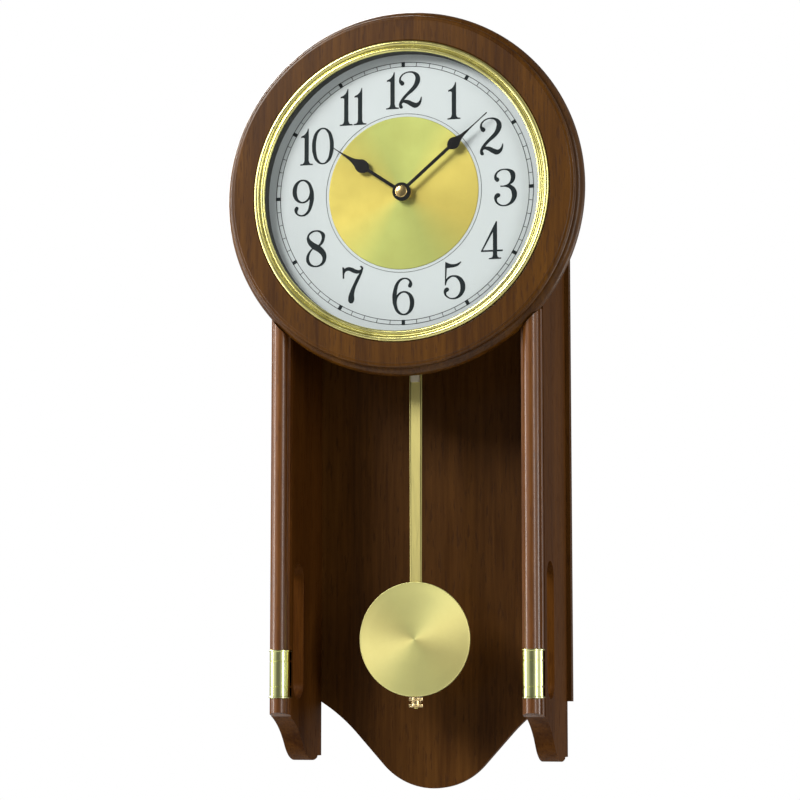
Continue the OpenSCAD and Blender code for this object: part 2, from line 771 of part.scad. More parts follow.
// right half of a hand's blade: the arm, a round shoulder, then a hollow flank to the tip
function blade_side(length, spade_at, spade_w) = let (arm = 1.1, r = spade_w / 2,
    low = asin(arm / r) - 90, high = 40,
    from = [0, spade_at] + polar(r, high), bend = [arm, spade_at + 2.2 * r], to = [0.3, length])
    concat([[arm, 0]], [for (i = [0 : 8]) [0, spade_at] + polar(r, low + (high - low) * i / 8)],
    [for (i = [1 : 6]) let (t = i / 6)
        (1 - t) * (1 - t) * from + 2 * t * (1 - t) * bend + t * t * to]);

// a spade hand that points up from its hub
module hand_outline(length, spade_at, spade_w, hole) difference() {
    right = blade_side(length, spade_at, spade_w);
    left = [for (i = [len(right) - 1 : -1 : 0]) [-right[i][0], right[i][1]]];
    union() {
        circle(r = hub_r);
        polygon(concat(right, left));
    }
    circle(r = hole);
}

module minute_hand() color("#151515") at_dial() translate([0, 0, minute_h]) rotate(-minute_at)
    linear_extrude(hand_t) hand_outline(minute_len, 50, 7.6, arbor_r);

module hour_hand() color("#151515") at_dial() translate([0, 0, hour_h]) rotate(-hour_at)
    linear_extrude(hand_t) hand_outline(hour_len, 36, 9.4, pipe_r);

module hand_cap() color("#b9903c") at_dial() tube(4.4, cap_h, cap_h + cap_t);

module hour_wheel() color("#d8d2bc") at_dial() difference() {
    union() {
        gear(hour_n, hour_module, ring_back - 5.8, ring_back - 4.8,
            in_mesh(short_n, 0, hour_n, setter_turn + 180));
        tube(pipe_r, ring_back - 5, hour_h + hand_t);
    }
    tube(arbor_r + run, 0, 2 * ring_face);
}

module minute_wheel() color("#d8d2bc") at_dial() translate(setter_at) {
    tube(setter_r, works_back - knob_gap, ring_back - 8.8);
    gear(minute_n, motion_module, ring_back - 8.8, ring_back - 7.8,
        in_mesh(cannon_n, 0, minute_n, setter_turn));
    gear(short_n, hour_module, ring_back - 7.8, ring_back - 3.8);
    tube(1, ring_back - 3.8, works_in + 0.6);
}

module setting_knob() color("#efe6c8") at_dial() translate(setter_at)
    tube(7, works_back - knob_t, works_back - knob_gap);

// ---- going train ----

// an arbor between the train plate and the front of the case
module arbor() tube(pivot_r, train_h + 0.1, works_in + 0.6);

module centre_wheel() color("#d8c27a") at_dial()
    gear(centre_n, centre_module, train_h + 2.4, train_h + 3.4, 0, arbor_r + run);

module third_wheel() color("#e3ddc9") at_dial() translate(third_at) {
    arbor();
    gear(leaf_n, centre_module, train_h + 2, train_h + 4, in_mesh(centre_n, 0, leaf_n, third_turn));
    gear(third_n, third_module, train_h + 4.8, train_h + 5.6);
}

module seconds_wheel() color("#e3ddc9") at_dial() translate(seconds_at) {
    arbor();
    gear(leaf_n, third_module, train_h + 4.4, train_h + 6, in_mesh(third_n, 0, leaf_n, seconds_turn));
    gear(seconds_n, seconds_module, train_h + 6.8, train_h + 7.6);
}

module fifth_wheel() color("#e3ddc9") at_dial() translate(fifth_at) {
    arbor();
    gear(short_n, seconds_module, train_h + 6.4, train_h + 8,
        in_mesh(seconds_n, 0, short_n, fifth_turn));
    gear(fifth_n, fifth_module, train_h + 8.8, train_h + 9.6);
}

module rotor() color("#777777") at_dial() translate(rotor_at) {
    arbor();
    gear(short_n, fifth_module, train_h + 8.4, train_h + 10,
        in_mesh(fifth_n, 0, short_n, rotor_turn));
    tube(3, train_h + 11, train_h + 14);
}

// ---- controls on the rear of the movement ----

module volume_knob() color("#d9d2b4") at_dial() translate([volume_x, control_y]) {
    tube(3, works_back - 3, works_back + 3);
    tube(6, works_back - 6, works_back - knob_gap);
    block([-0.7, 2, works_back - 7], [0.7, 5.4, works_back - 6]);
}

module lever(x) translate([x, control_y, 0]) {
    block([-lever_travel / 2 - 2, -1.8, works_back + 2], [2 - lever_travel / 2, 1.8, works_back + 3.2]);
    block([-lever_travel / 2 - 2, -2, works_back - 2.4], [2 - lever_travel / 2, 2, works_back + 2]);
}

module chime_switch() color("#e6e0cc") at_dial() lever(chime_x);
module night_switch() color("#e6e0cc") at_dial() lever(night_x);

module demo_button() color("#c8452f") at_dial() translate([demo_x, control_y])
    tube(3, works_back - 2.2, works_back + 1.9);

// ---- pendulum ----

module pendulum_hanger() color("#e9e6da") at_dial() {
    front = rod_h + rod_t / 2;
    difference() {
        union() {
            translate([0, -pivot_drop]) tube(4, rod_h - 3, rod_h + 4);
            block([-3, window_y[0] - 1.5, front], [3, -pivot_drop, front + 2.6]);
        }
        translate([0, -pivot_drop, 0]) cylinder(r = pin_r + run, h = ring_face);
    }
    block([-3, window_y[0] + 0.2, rod_h - 2.4], [3, window_y[1], front]);
    translate([0, -pivot_drop - 26]) tube(5, front + 2.6, front + 5.6);
}

module pendulum_rod() color("#d9cf86") at_dial() difference() {
    foot_w = rod_w - 0.8;
    translate([0, 0, rod_h - rod_t / 2]) linear_extrude(rod_t)
        polygon([[-rod_w / 2, rod_top], [-foot_w / 2, stud_block_y[1]],
            [foot_w / 2, stud_block_y[1]], [rod_w / 2, rod_top]]);
    block([-window_x, window_y[0], 0], [window_x, window_y[1], ring_face]);
}

module rod_stud() color("#bfb27a") at_dial() {
    block([-3.6, stud_block_y[0], rod_h - 1.5], [3.6, stud_block_y[1], rod_h + 1.5]);
    upright(stud_r, nut_top - nut_len - 1, stud_block_y[0], rod_h);
}

module bob() color("#d9d08a") at_dial() {
    rear = rod_h - 4;
    translate([0, -bob_drop]) {
        tube(bob_r, bob_back, bob_back + bob_t - 0.8);
        translate([0, 0, bob_back + bob_t - 0.8]) cylinder(r1 = bob_r, r2 = bob_r - 0.8, h = 0.8);
    }
    // a loop round the rod, then a tongue that rests on the nut
    difference() {
        block([-8, bob_foot + 14, rear], [8, -bob_drop, bob_back]);
        block([-rod_w / 2 - gap, bob_foot + 13, rod_h - rod_t / 2 - gap],
            [rod_w / 2 + gap, -bob_drop + past, rod_h + rod_t / 2 + gap]);
    }
    block([-4, bob_foot + tongue_t - 0.5, rear], [4, bob_foot + 14, rear + 1]);
    difference() {
        block([-4, bob_foot - 0.4, rear], [4, bob_foot + tongue_t - 0.4, bob_back]);
        upright(stud_r + gap, bob_foot - 2, bob_foot + 4, rod_h);
    }
}

module rating_nut() color("#cdbf72") at_dial() difference() {
    upright(nut_d / 2, nut_top - nut_len, nut_top, rod_h);
    upright(stud_r + run, nut_top - nut_len - past, nut_top + past, rod_h);
    translate([0, 0, rod_h]) rotate([-90, 0, 0]) translate([0, 0, nut_top - nut_len / 2 - 0.3])
        difference() {
            cylinder(d = nut_d + 1, h = 0.6);
            cylinder(d = nut_d - 1.2, h = 0.6);
        }
}

back_panel();
left_side_panel();
right_side_panel();
top_board();
left_column();
right_column();
left_collar();
right_collar();
head_board();
head_ring();
bezel();
glass();
spacer_ring();
dial_board();
dial_plate();
dial_disc();
dial_numerals();
minute_track();
hanger_plate();
hanger_screws();
wall_bumpers();
movement_front();
movement_rear();
train_plate();
fixing_nut();
circuit_board();
motor_coil();
stator();
battery_cells();
battery_contacts();
speaker_frame();
speaker_cone();
speaker_magnet();
pendulum_case();
pendulum_cover();
pendulum_coil();
pivot_pin();
works_bracket();
case_screws();
minute_arbor();
minute_hand();
hand_cap();
hour_wheel();
hour_hand();
minute_wheel();
setting_knob();
centre_wheel();
third_wheel();
seconds_wheel();
fifth_wheel();
rotor();
volume_knob();
chime_switch();
night_switch();
demo_button();
pendulum_hanger();
pendulum_rod();
rod_stud();
bob();
rating_nut();
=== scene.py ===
# The looks of a pendulum wall clock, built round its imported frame.
import math

import bmesh
import bpy
from mathutils import Matrix, Vector


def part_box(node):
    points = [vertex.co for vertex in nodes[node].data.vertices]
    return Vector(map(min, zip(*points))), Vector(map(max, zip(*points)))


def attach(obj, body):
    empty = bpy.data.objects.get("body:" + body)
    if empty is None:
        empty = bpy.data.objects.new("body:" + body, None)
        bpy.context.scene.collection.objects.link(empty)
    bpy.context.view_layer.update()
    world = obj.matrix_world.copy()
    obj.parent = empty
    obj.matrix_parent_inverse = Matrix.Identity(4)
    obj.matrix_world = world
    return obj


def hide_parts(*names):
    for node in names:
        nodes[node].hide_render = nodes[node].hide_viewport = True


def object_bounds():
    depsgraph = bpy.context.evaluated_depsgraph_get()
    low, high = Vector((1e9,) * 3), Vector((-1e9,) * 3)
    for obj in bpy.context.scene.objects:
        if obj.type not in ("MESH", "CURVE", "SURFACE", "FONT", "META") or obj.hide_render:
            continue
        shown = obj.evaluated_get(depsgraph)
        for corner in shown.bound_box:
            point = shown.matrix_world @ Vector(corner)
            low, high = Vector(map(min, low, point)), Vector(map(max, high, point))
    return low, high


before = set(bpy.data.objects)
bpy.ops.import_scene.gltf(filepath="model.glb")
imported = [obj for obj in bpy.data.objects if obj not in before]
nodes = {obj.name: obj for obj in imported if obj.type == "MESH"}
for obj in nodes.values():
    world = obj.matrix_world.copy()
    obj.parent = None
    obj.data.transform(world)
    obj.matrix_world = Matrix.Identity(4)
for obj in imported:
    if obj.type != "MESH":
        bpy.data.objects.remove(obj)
cadBox = [list(corner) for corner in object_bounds()]
print("frame loaded: %d nodes" % len(nodes))

# ---- places
# Pieces are modelled in millimetres in the dial's own frame: x to the right and y up
# from the dial's centre, z out from the wall.
bezelLow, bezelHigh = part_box("bezel")
dialCentre = (bezelLow + bezelHigh) / 2
toWorld = Matrix((
    (0.001, 0, 0, dialCentre.x),
    (0, 0, -0.001, 0),
    (0, 0.001, 0, dialCentre.z),
    (0, 0, 0, 1)))
toDial = toWorld.inverted()


def place(node):  # the box of a node, in the dial's frame
    a, b = (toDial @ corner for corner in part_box(node))
    return Vector(map(min, a, b)), Vector(map(max, a, b))


def solidBoxes(node):  # the same for each separate solid in a node
    bm = bmesh.new()
    bm.from_mesh(nodes[node].data)
    bmesh.ops.remove_doubles(bm, verts=bm.verts, dist=1e-6)
    left = set(bm.verts)
    boxes = []
    while left:
        island = [left.pop()]
        for vert in island:
            for edge in vert.link_edges:
                other = edge.other_vert(vert)
                if other in left:
                    left.remove(other)
                    island.append(other)
        spots = [toDial @ vert.co for vert in island]
        lowest = Vector([min(spot[axis] for spot in spots) for axis in range(3)])
        highest = Vector([max(spot[axis] for spot in spots) for axis in range(3)])
        boxes.append((lowest, highest))
    bm.free()
    return sorted(boxes, key=lambda box: (round(box[0].x, 1), round(box[0].y, 1)))


def middle(box):
    return (box[0] + box[1]) / 2


# ---- camera
view = {
    "azimuth": 15.27,      # degrees round to the right
    "elevation": -6.54,    # degrees above the level
    "distance": 1.839,
    "aim": (-0.0106, -0.060, -0.1964),
    "lens": 115.62,
}


def addCamera():
    lens = bpy.data.cameras.new("camera")
    lens.lens = view["lens"]
    lens.dof.use_dof = False
    camera = bpy.data.objects.new("camera", lens)
    bpy.context.scene.collection.objects.link(camera)
    around, up = math.radians(view["azimuth"]), math.radians(view["elevation"])
    away = Vector((math.sin(around) * math.cos(up), -math.cos(around) * math.cos(up), math.sin(up)))
    camera.location = Vector(view["aim"]) + away * view["distance"]
    camera.rotation_euler = away.to_track_quat("Z", "Y").to_euler()
    bpy.context.scene.camera = camera


addCamera()
print("camera ready")

# ---- shader helpers


def feed(tree, socket, value):  # a socket takes a link or a constant
    if isinstance(value, bpy.types.NodeSocket):
        tree.links.new(value, socket)
    elif isinstance(value, tuple) and len(value) == 3 and socket.type == "RGBA":
        socket.default_value = (*value, 1)
    else:
        socket.default_value = value


def addNode(tree, kind, sockets=None, **settings):
    node = tree.nodes.new(kind)
    for key, value in settings.items():
        setattr(node, key, value)
    for key, value in (sockets or {}).items():
        feed(tree, node.inputs[key], value)
    return node


def mixColors(tree, factor, a, b, mode="MIX"):
    return addNode(tree, "ShaderNodeMix", {0: factor, 6: a, 7: b},
                   data_type="RGBA", blend_type=mode).outputs[2]


def calc(tree, operation, a, b=0.5, clamp=False):
    return addNode(tree, "ShaderNodeMath", {0: a, 1: b},
                   operation=operation, use_clamp=clamp).outputs[0]


def spread(tree, value, low, high, start=0.0, end=1.0):  # a range stretched to another
    sockets = {"Value": value, "From Min": low, "From Max": high, "To Min": start, "To Max": end}
    return addNode(tree, "ShaderNodeMapRange", sockets, clamp=True).outputs["Result"]


def noise(tree, spot, scale, detail=3.0, roughness=0.55, bend=0.0):
    sockets = {"Vector": spot, "Scale": scale, "Detail": detail,
               "Roughness": roughness, "Distortion": bend}
    return addNode(tree, "ShaderNodeTexNoise", sockets).outputs["Fac"]


def objectSpot(tree, stretch=(1, 1, 1), move=(0, 0, 0)):
    spot = addNode(tree, "ShaderNodeTexCoord").outputs["Object"]
    return addNode(tree, "ShaderNodeMapping",
                   {"Vector": spot, "Scale": stretch, "Location": move}).outputs["Vector"]


def newGroup(name, inputs, outputs):
    tree = bpy.data.node_groups.new(name, "ShaderNodeTree")
    for label, kind, value in inputs:
        socket = tree.interface.new_socket(name=label, in_out="INPUT", socket_type="NodeSocket" + kind)
        socket.default_value = value
    for label, kind in outputs:
        tree.interface.new_socket(name=label, in_out="OUTPUT", socket_type="NodeSocket" + kind)
    return tree, tree.nodes.new("NodeGroupInput").outputs, tree.nodes.new("NodeGroupOutput").inputs


# ---- shared effects


def makeWoodGrain():  # veneer: a slow figure, fine streaks and short dark pores
    tree, given, out = newGroup(
        "woodGrain",
        [("Light", "Color", (0.2, 0.1, 0.05, 1)), ("Dark", "Color", (0.05, 0.02, 0.01, 1)),
         ("Fineness", "Float", 1.0), ("Stretch", "Vector", (1, 1, 0.05))],
        [("Color", "Color"), ("Roughness", "Float"), ("Height", "Float")])
    spot = objectSpot(tree, given["Stretch"])
    figure = noise(tree, spot, calc(tree, "MULTIPLY", given["Fineness"], 46), 3, 0.5, 0.8)
    streak = noise(tree, spot, calc(tree, "MULTIPLY", given["Fineness"], 420), 5, 0.62, 0.2)
    short = addNode(tree, "ShaderNodeVectorMath", {0: given["Stretch"], 1: (0.08, 0.08, 0.08)},
                    operation="ADD").outputs["Vector"]
    pore = noise(tree, objectSpot(tree, short), calc(tree, "MULTIPLY", given["Fineness"], 620), 2, 0.5)
    pores = spread(tree, pore, 0.58, 0.66)
    tone = calc(tree, "ADD", calc(tree, "MULTIPLY", figure, 0.55), calc(tree, "MULTIPLY", streak, 0.45))
    ground = mixColors(tree, spread(tree, tone, 0.34, 0.66), given["Dark"], given["Light"])
    shade = mixColors(tree, calc(tree, "MULTIPLY", pores, 0.6), ground, given["Dark"])
    feed(tree, out["Color"], shade)
    feed(tree, out["Roughness"], calc(tree, "MULTIPLY", calc(tree, "ADD", pores, streak), 0.12))
    feed(tree, out["Height"], calc(tree, "SUBTRACT", calc(tree, "MULTIPLY", streak, 0.4), pores))
    return tree


def makeEdgeWear():  # where an edge is rubbed: the rounded normal leaves the flat one
    tree, given, out = newGroup(
        "edgeWear", [("Radius", "Float", 0.0008), ("Amount", "Float", 0.5)], [("Mask", "Float")])
    flat = addNode(tree, "ShaderNodeNewGeometry").outputs["Normal"]
    rounded = addNode(tree, "ShaderNodeBevel", {"Radius": given["Radius"]}, samples=4).outputs["Normal"]
    dot = addNode(tree, "ShaderNodeVectorMath", {0: flat, 1: rounded},
                  operation="DOT_PRODUCT").outputs["Value"]
    edge = spread(tree, calc(tree, "SUBTRACT", 1.0, dot), 0.03, 0.3)
    patches = spread(tree, noise(tree, objectSpot(tree), 140.0, 3, 0.6), 0.3, 0.7)
    mask = calc(tree, "MULTIPLY", edge, calc(tree, "MULTIPLY", patches, given["Amount"]), True)
    feed(tree, out["Mask"], mask)
    return tree


def makeDust():  # settles thinly on what faces up
    tree, given, out = newGroup("dustVeil", [("Amount", "Float", 0.3)], [("Mask", "Float")])
    flat = addNode(tree, "ShaderNodeNewGeometry").outputs["Normal"]
    up = addNode(tree, "ShaderNodeSeparateXYZ", {"Vector": flat}).outputs["Z"]
    specks = spread(tree, noise(tree, objectSpot(tree), 260.0, 5, 0.7), 0.35, 0.75)
    lying = calc(tree, "MULTIPLY", spread(tree, up, 0.5, 1.0), specks)
    feed(tree, out["Mask"], calc(tree, "MULTIPLY", lying, given["Amount"], True))
    return tree


def makeBrushed():  # fine lines one way, and slow patches of handling
    tree, given, out = newGroup(
        "brushedLines", [("Stretch", "Vector", (1, 1, 1)), ("Scale", "Float", 900.0)],
        [("Lines", "Float"), ("Patches", "Float")])
    spot = objectSpot(tree, given["Stretch"])
    feed(tree, out["Lines"], noise(tree, spot, given["Scale"], 4, 0.6))
    feed(tree, out["Patches"], noise(tree, objectSpot(tree), 55.0, 4, 0.6))
    return tree


def makePaintedSheen():  # painted sheen of turned metal: one tone to the sides of a centre, another above and below, standing in for the highlights that side lights put on it
    tree, given, out = newGroup(
        "paintedSheenTone", [("Centre", "Vector", (0, 0, 0)), ("Side", "Color", (0.7, 0.6, 0.2, 1)),
                         ("Upright", "Color", (0.5, 0.55, 0.2, 1))], [("Color", "Color")])
    spot = addNode(tree, "ShaderNodeVectorMath", {0: objectSpot(tree), 1: given["Centre"]},
                   operation="SUBTRACT")
    parts = addNode(tree, "ShaderNodeSeparateXYZ", {"Vector": spot.outputs["Vector"]}).outputs
    across = calc(tree, "MULTIPLY", parts["X"], parts["X"])
    upright = calc(tree, "MULTIPLY", parts["Z"], parts["Z"])
    whole = calc(tree, "ADD", calc(tree, "ADD", across, upright), 1e-6)
    share = spread(tree, calc(tree, "DIVIDE", across, whole), 0.15, 0.85)
    feed(tree, out["Color"], mixColors(tree, share, given["Upright"], given["Side"]))
    return tree


def makeMoulded():  # the fine texture of a moulded or painted skin
    tree, given, out = newGroup("mouldedSkin", [("Scale", "Float", 1800.0)],
                                [("Mottle", "Float"), ("Height", "Float")])
    feed(tree, out["Mottle"], noise(tree, objectSpot(tree), 90.0, 3, 0.5))
    feed(tree, out["Height"], noise(tree, objectSpot(tree), given["Scale"], 2, 0.5))
    return tree


woodGrain = makeWoodGrain()
edgeWear = makeEdgeWear()
dustVeil = makeDust()
brushedLines = makeBrushed()
paintedSheen = makePaintedSheen()
mouldedSkin = makeMoulded()


def useGroup(tree, group, sockets):
    node = addNode(tree, "ShaderNodeGroup", None, node_tree=group)
    for key, value in sockets.items():
        feed(tree, node.inputs[key], value)
    return node


# ---- materials


def newMaterial(name, sockets):
    material = bpy.data.materials.new(name)
    material.use_nodes = True
    tree = material.node_tree
    shader = tree.nodes["Principled BSDF"]
    for key, value in sockets.items():
        feed(tree, shader.inputs[key], value)
    return material, tree, shader.inputs


def addBump(tree, shader, height, strength, distance):
    bump = addNode(tree, "ShaderNodeBump", {"Height": height, "Strength": strength, "Distance": distance})
    feed(tree, shader["Normal"], bump.outputs["Normal"])


def woodMaterial(name, light, dark, fineness=1.0, stretch=(1, 1, 0.05), gloss=0.3, wear=0.5, dust=0.2,
                 worn=(0.30, 0.15, 0.08), polish=0.14, shine=0.1):
    material, tree, shader = newMaterial(name, {
        "Coat Weight": gloss, "Coat Roughness": polish, "Specular IOR Level": shine})
    grain = useGroup(tree, woodGrain, {
        "Light": light, "Dark": dark, "Fineness": fineness, "Stretch": stretch}).outputs
    rubbed = useGroup(tree, edgeWear, {"Radius": 0.0007, "Amount": wear}).outputs["Mask"]
    veil = useGroup(tree, dustVeil, {"Amount": dust}).outputs["Mask"]
    base = mixColors(tree, rubbed, grain["Color"], worn)
    feed(tree, shader["Base Color"], mixColors(tree, veil, base, (0.42, 0.39, 0.35)))
    feed(tree, shader["Roughness"], calc(tree, "ADD", grain["Roughness"], 0.34))
    addBump(tree, shader, grain["Height"], 0.18, 0.0002)
    return material


def metalMaterial(name, base, stain, roughness=0.25, stretch=(1, 1, 1), scale=900.0, bump=0.05,
                  anisotropic=0.0, radial=None, wear=0.0, coat=0.0):
    material, tree, shader = newMaterial(name, {
        "Metallic": 1.0, "Anisotropic": anisotropic, "Coat Weight": coat, "Coat Roughness": 0.08})
    lines = useGroup(tree, brushedLines, {"Stretch": stretch, "Scale": scale}).outputs
    tone = mixColors(tree, spread(tree, lines["Patches"], 0.3, 0.75, 0.0, 0.55), base, stain)
    if wear:
        rubbed = useGroup(tree, edgeWear, {"Radius": 0.0004, "Amount": wear}).outputs["Mask"]
        tone = mixColors(tree, rubbed, tone, (0.95, 0.92, 0.8))
    feed(tree, shader["Base Color"], tone)
    feed(tree, shader["Roughness"],
         spread(tree, lines["Lines"], 0.3, 0.7, roughness * 0.8, roughness * 1.25))
    if radial:
        tangent = addNode(tree, "ShaderNodeTangent", None, direction_type="RADIAL", axis=radial)
        feed(tree, shader["Tangent"], tangent.outputs["Tangent"])
    addBump(tree, shader, lines["Lines"], bump, 0.0001)
    return material


def turnedMaterial(name, side, upright, centre, roughness=0.5, anisotropic=0.6, wear=0.0):
    material, tree, shader = newMaterial(name, {"Metallic": 1.0, "Anisotropic": anisotropic})
    # painted sheen: the side tone stands in for the highlights left and right of the centre, the upright tone
    # for the darker parts above and below
    tone = useGroup(tree, paintedSheen, {"Centre": centre, "Side": side, "Upright": upright}).outputs["Color"]
    lines = useGroup(tree, brushedLines, {"Scale": 700.0}).outputs
    stain = mixColors(tree, 0.12, tone, (0.4, 0.34, 0.12))
    base = mixColors(tree, spread(tree, lines["Patches"], 0.35, 0.75), tone, stain)
    rubbed = useGroup(tree, edgeWear, {"Radius": 0.0006, "Amount": wear}).outputs["Mask"]
    feed(tree, shader["Base Color"], mixColors(tree, rubbed, base, (0.96, 0.94, 0.72)))
    feed(tree, shader["Roughness"],
         spread(tree, lines["Patches"], 0.3, 0.7, roughness * 0.92, roughness * 1.08))
    tangent = addNode(tree, "ShaderNodeTangent", None, direction_type="RADIAL", axis="Y")
    feed(tree, shader["Tangent"], tangent.outputs["Tangent"])
    return material


def mouldedMaterial(name, color, other, roughness=0.45, scale=1800.0, bump=0.15, dust=0.15, coat=0.0,
                    shine=0.5):
    material, tree, shader = newMaterial(name, {
        "Coat Weight": coat, "Coat Roughness": 0.15, "Specular IOR Level": shine})
    skin = useGroup(tree, mouldedSkin, {"Scale": scale}).outputs
    veil = useGroup(tree, dustVeil, {"Amount": dust}).outputs["Mask"]
    base = mixColors(tree, spread(tree, skin["Mottle"], 0.3, 0.7), color, other)
    feed(tree, shader["Base Color"], mixColors(tree, veil, base, (0.45, 0.43, 0.4)))
    feed(tree, shader["Roughness"],
         spread(tree, skin["Mottle"], 0.3, 0.7, roughness * 0.85, roughness * 1.15))
    addBump(tree, shader, skin["Height"], bump, 0.0001)
    return material


def glassMaterial():
    material, tree, shader = newMaterial("clearPane", {
        "Base Color": (0.93, 0.98, 0.97), "Metallic": 1.0, "Roughness": 0.06})
    # the pane shows only what it mirrors, more so at a glancing angle
    mirror = addNode(tree, "ShaderNodeFresnel", {"IOR": 1.5}).outputs["Fac"]
    smear = spread(tree, noise(tree, objectSpot(tree), 22.0, 4, 0.6), 0.35, 0.7, 0.0, 0.012)
    seen = calc(tree, "ADD", calc(tree, "MULTIPLY", mirror, 1.25), smear, True)
    inner = addNode(tree, "ShaderNodeNewGeometry").outputs["Backfacing"]
    feed(tree, shader["Alpha"], calc(tree, "MULTIPLY", seen, calc(tree, "SUBTRACT", 1.0, inner)))
    return material


def cellMaterial(ends):  # a wrapped cell: dark sleeve, a gold band towards one end
    material, tree, shader = newMaterial("cellWrap", {"Metallic": 0.35, "Coat Weight": 0.4})
    x = addNode(tree, "ShaderNodeSeparateXYZ", {"Vector": objectSpot(tree)}).outputs["X"]
    z = addNode(tree, "ShaderNodeSeparateXYZ", {"Vector": objectSpot(tree)}).outputs["Z"]
    upper = calc(tree, "GREATER_THAN", z, ends["between"])
    way = calc(tree, "SUBTRACT", 1.0, calc(tree, "MULTIPLY", upper, 2.0))
    band = calc(tree, "GREATER_THAN", calc(tree, "MULTIPLY", x, way), ends["band"])
    skin = useGroup(tree, mouldedSkin, {"Scale": 700.0}).outputs
    sleeve = mixColors(tree, skin["Mottle"], (0.03, 0.035, 0.04), (0.06, 0.065, 0.07))
    feed(tree, shader["Base Color"], mixColors(tree, band, sleeve, (0.72, 0.42, 0.12)))
    feed(tree, shader["Roughness"], spread(tree, skin["Mottle"], 0.3, 0.7, 0.25, 0.4))
    addBump(tree, shader, skin["Height"], 0.05, 0.0001)
    return material


wood = {
    "ring": woodMaterial("ringVeneer", (0.122, 0.046, 0.003), (0.044, 0.014, 0.001), 1.0, gloss=0.3,
                         wear=0.25, dust=0.05, polish=0.22),
    "panel": woodMaterial("panelVeneer", (0.125, 0.045, 0.007), (0.05, 0.015, 0.002), 0.9, gloss=0.0,
                          wear=0.25, dust=0.03, shine=0.03),
    "column": woodMaterial("columnStain", (0.20, 0.070, 0.010), (0.085, 0.025, 0.003), 1.1, gloss=1.0,
                           wear=0.35, dust=0.0, polish=0.26),
    "back": woodMaterial("backVeneer", (0.12, 0.047, 0.008), (0.045, 0.015, 0.002), 0.7, gloss=0.1,
                         wear=0.2, dust=0.1),
    "top": woodMaterial("topVeneer", (0.12, 0.046, 0.009), (0.048, 0.016, 0.003), 0.9, (0.05, 1, 1),
                        gloss=0.05, dust=0.12),
    "board": woodMaterial("fibreBoard", (0.36, 0.24, 0.14), (0.24, 0.15, 0.08), 2.2, (1, 1, 1), gloss=0.0,
                          wear=0.2, dust=0.3, worn=(0.45, 0.33, 0.2)),
}
# where the painted two-tone sheen of each turned piece goes round
bobLow, bobHigh = place("bob")
discSpot = tuple(toWorld @ middle(place("dial_disc")))
bobLift = bobHigh.x / 1000 - (bobHigh.y - bobLow.y) / 2000
bobSpot = tuple(toWorld @ middle((bobLow, bobHigh)) + Vector((0, 0, bobLift)))
metal = {
    "bezel": metalMaterial("bezelBrass", (0.78, 0.73, 0.28), (0.72, 0.67, 0.24), 0.24,
                           scale=60.0, bump=0.0),
    "collar": metalMaterial("collarBrass", (0.80, 0.84, 0.40), (0.74, 0.76, 0.33), 0.19,
                            scale=60.0, bump=0.0),
    "disc": turnedMaterial("discBrass", (0.60, 0.51, 0.13), (0.42, 0.46, 0.145), discSpot, 0.6, 0.35),
    "bob": turnedMaterial("bobMetal", (0.68, 0.62, 0.25), (0.66, 0.64, 0.26), bobSpot, 0.52, 0.45, 1.0),
    "rod": metalMaterial("rodBrass", (0.60, 0.53, 0.20), (0.56, 0.50, 0.18), 0.48, (1, 1, 0.03),
                         1400.0, 0.01),
    "nut": metalMaterial("nutBrass", (0.84, 0.66, 0.34), (0.62, 0.46, 0.2), 0.24, wear=0.8),
    "cap": metalMaterial("capBrass", (0.80, 0.60, 0.26), (0.66, 0.46, 0.17), 0.2, wear=0.5),
    "gear": metalMaterial("gearBrass", (0.75, 0.58, 0.28), (0.60, 0.44, 0.18), 0.3, wear=0.4),
    "steel": metalMaterial("zincSteel", (0.60, 0.60, 0.58), (0.48, 0.48, 0.47), 0.36, wear=0.4, bump=0.12),
    "copper": metalMaterial("copperWire", (0.68, 0.30, 0.12), (0.50, 0.18, 0.06), 0.3, (0.02, 1, 1),
                            2600.0, 0.5),
}
moulded = {
    "black": mouldedMaterial("blackMoulding", (0.014, 0.014, 0.015), (0.024, 0.024, 0.025), 0.5),
    "cream": mouldedMaterial("creamMoulding", (0.66, 0.60, 0.45), (0.60, 0.54, 0.39), 0.4, dust=0.1),
    "gear": mouldedMaterial("gearMoulding", (0.62, 0.57, 0.46), (0.56, 0.50, 0.40), 0.35, dust=0.0),
    "red": mouldedMaterial("redButton", (0.50, 0.035, 0.02), (0.42, 0.028, 0.016), 0.3, coat=0.3),
    "enamel": mouldedMaterial("dialEnamel", (0.71, 0.785, 0.80), (0.695, 0.77, 0.785), 0.42,
                              2400.0, 0.03, 0.0),
    "ink": mouldedMaterial("dialInk", (0.007, 0.013, 0.015), (0.011, 0.019, 0.022), 0.5, 2400.0, 0.03, 0.0,
                           shine=0.12),
    "hand": mouldedMaterial("handPaint", (0.006, 0.006, 0.007), (0.010, 0.009, 0.009), 0.32,
                            2000.0, 0.06, 0.0, shine=0.15),
    # painted shade: the spacer is near-black so that it stands for the shadowed gap between bezel and dial
    "spacer": mouldedMaterial("spacerPaintedShade", (0.012, 0.012, 0.010), (0.022, 0.021, 0.018), 0.55, dust=0.0),
    "rubber": mouldedMaterial("bumperRubber", (0.02, 0.02, 0.02), (0.035, 0.034, 0.033), 0.7, 1200.0, 0.3),
    "board": mouldedMaterial("boardMask", (0.012, 0.12, 0.035), (0.010, 0.095, 0.028), 0.3, coat=0.4),
    "paper": mouldedMaterial("pressedPaper", (0.03, 0.03, 0.03), (0.055, 0.054, 0.05), 0.8, 900.0, 0.5),
    "ferrite": mouldedMaterial("sinteredCore", (0.05, 0.05, 0.052), (0.085, 0.085, 0.085), 0.55, 1500.0, 0.4),
}
pane = glassMaterial()
print("materials ready")

# ---- shape helpers


def gather(*parts):  # several meshes as one
    whole = bmesh.new()
    for part in parts:
        mesh = bpy.data.meshes.new("part")
        part.to_mesh(mesh)
        part.free()
        whole.from_mesh(mesh)
        bpy.data.meshes.remove(mesh)
    return whole


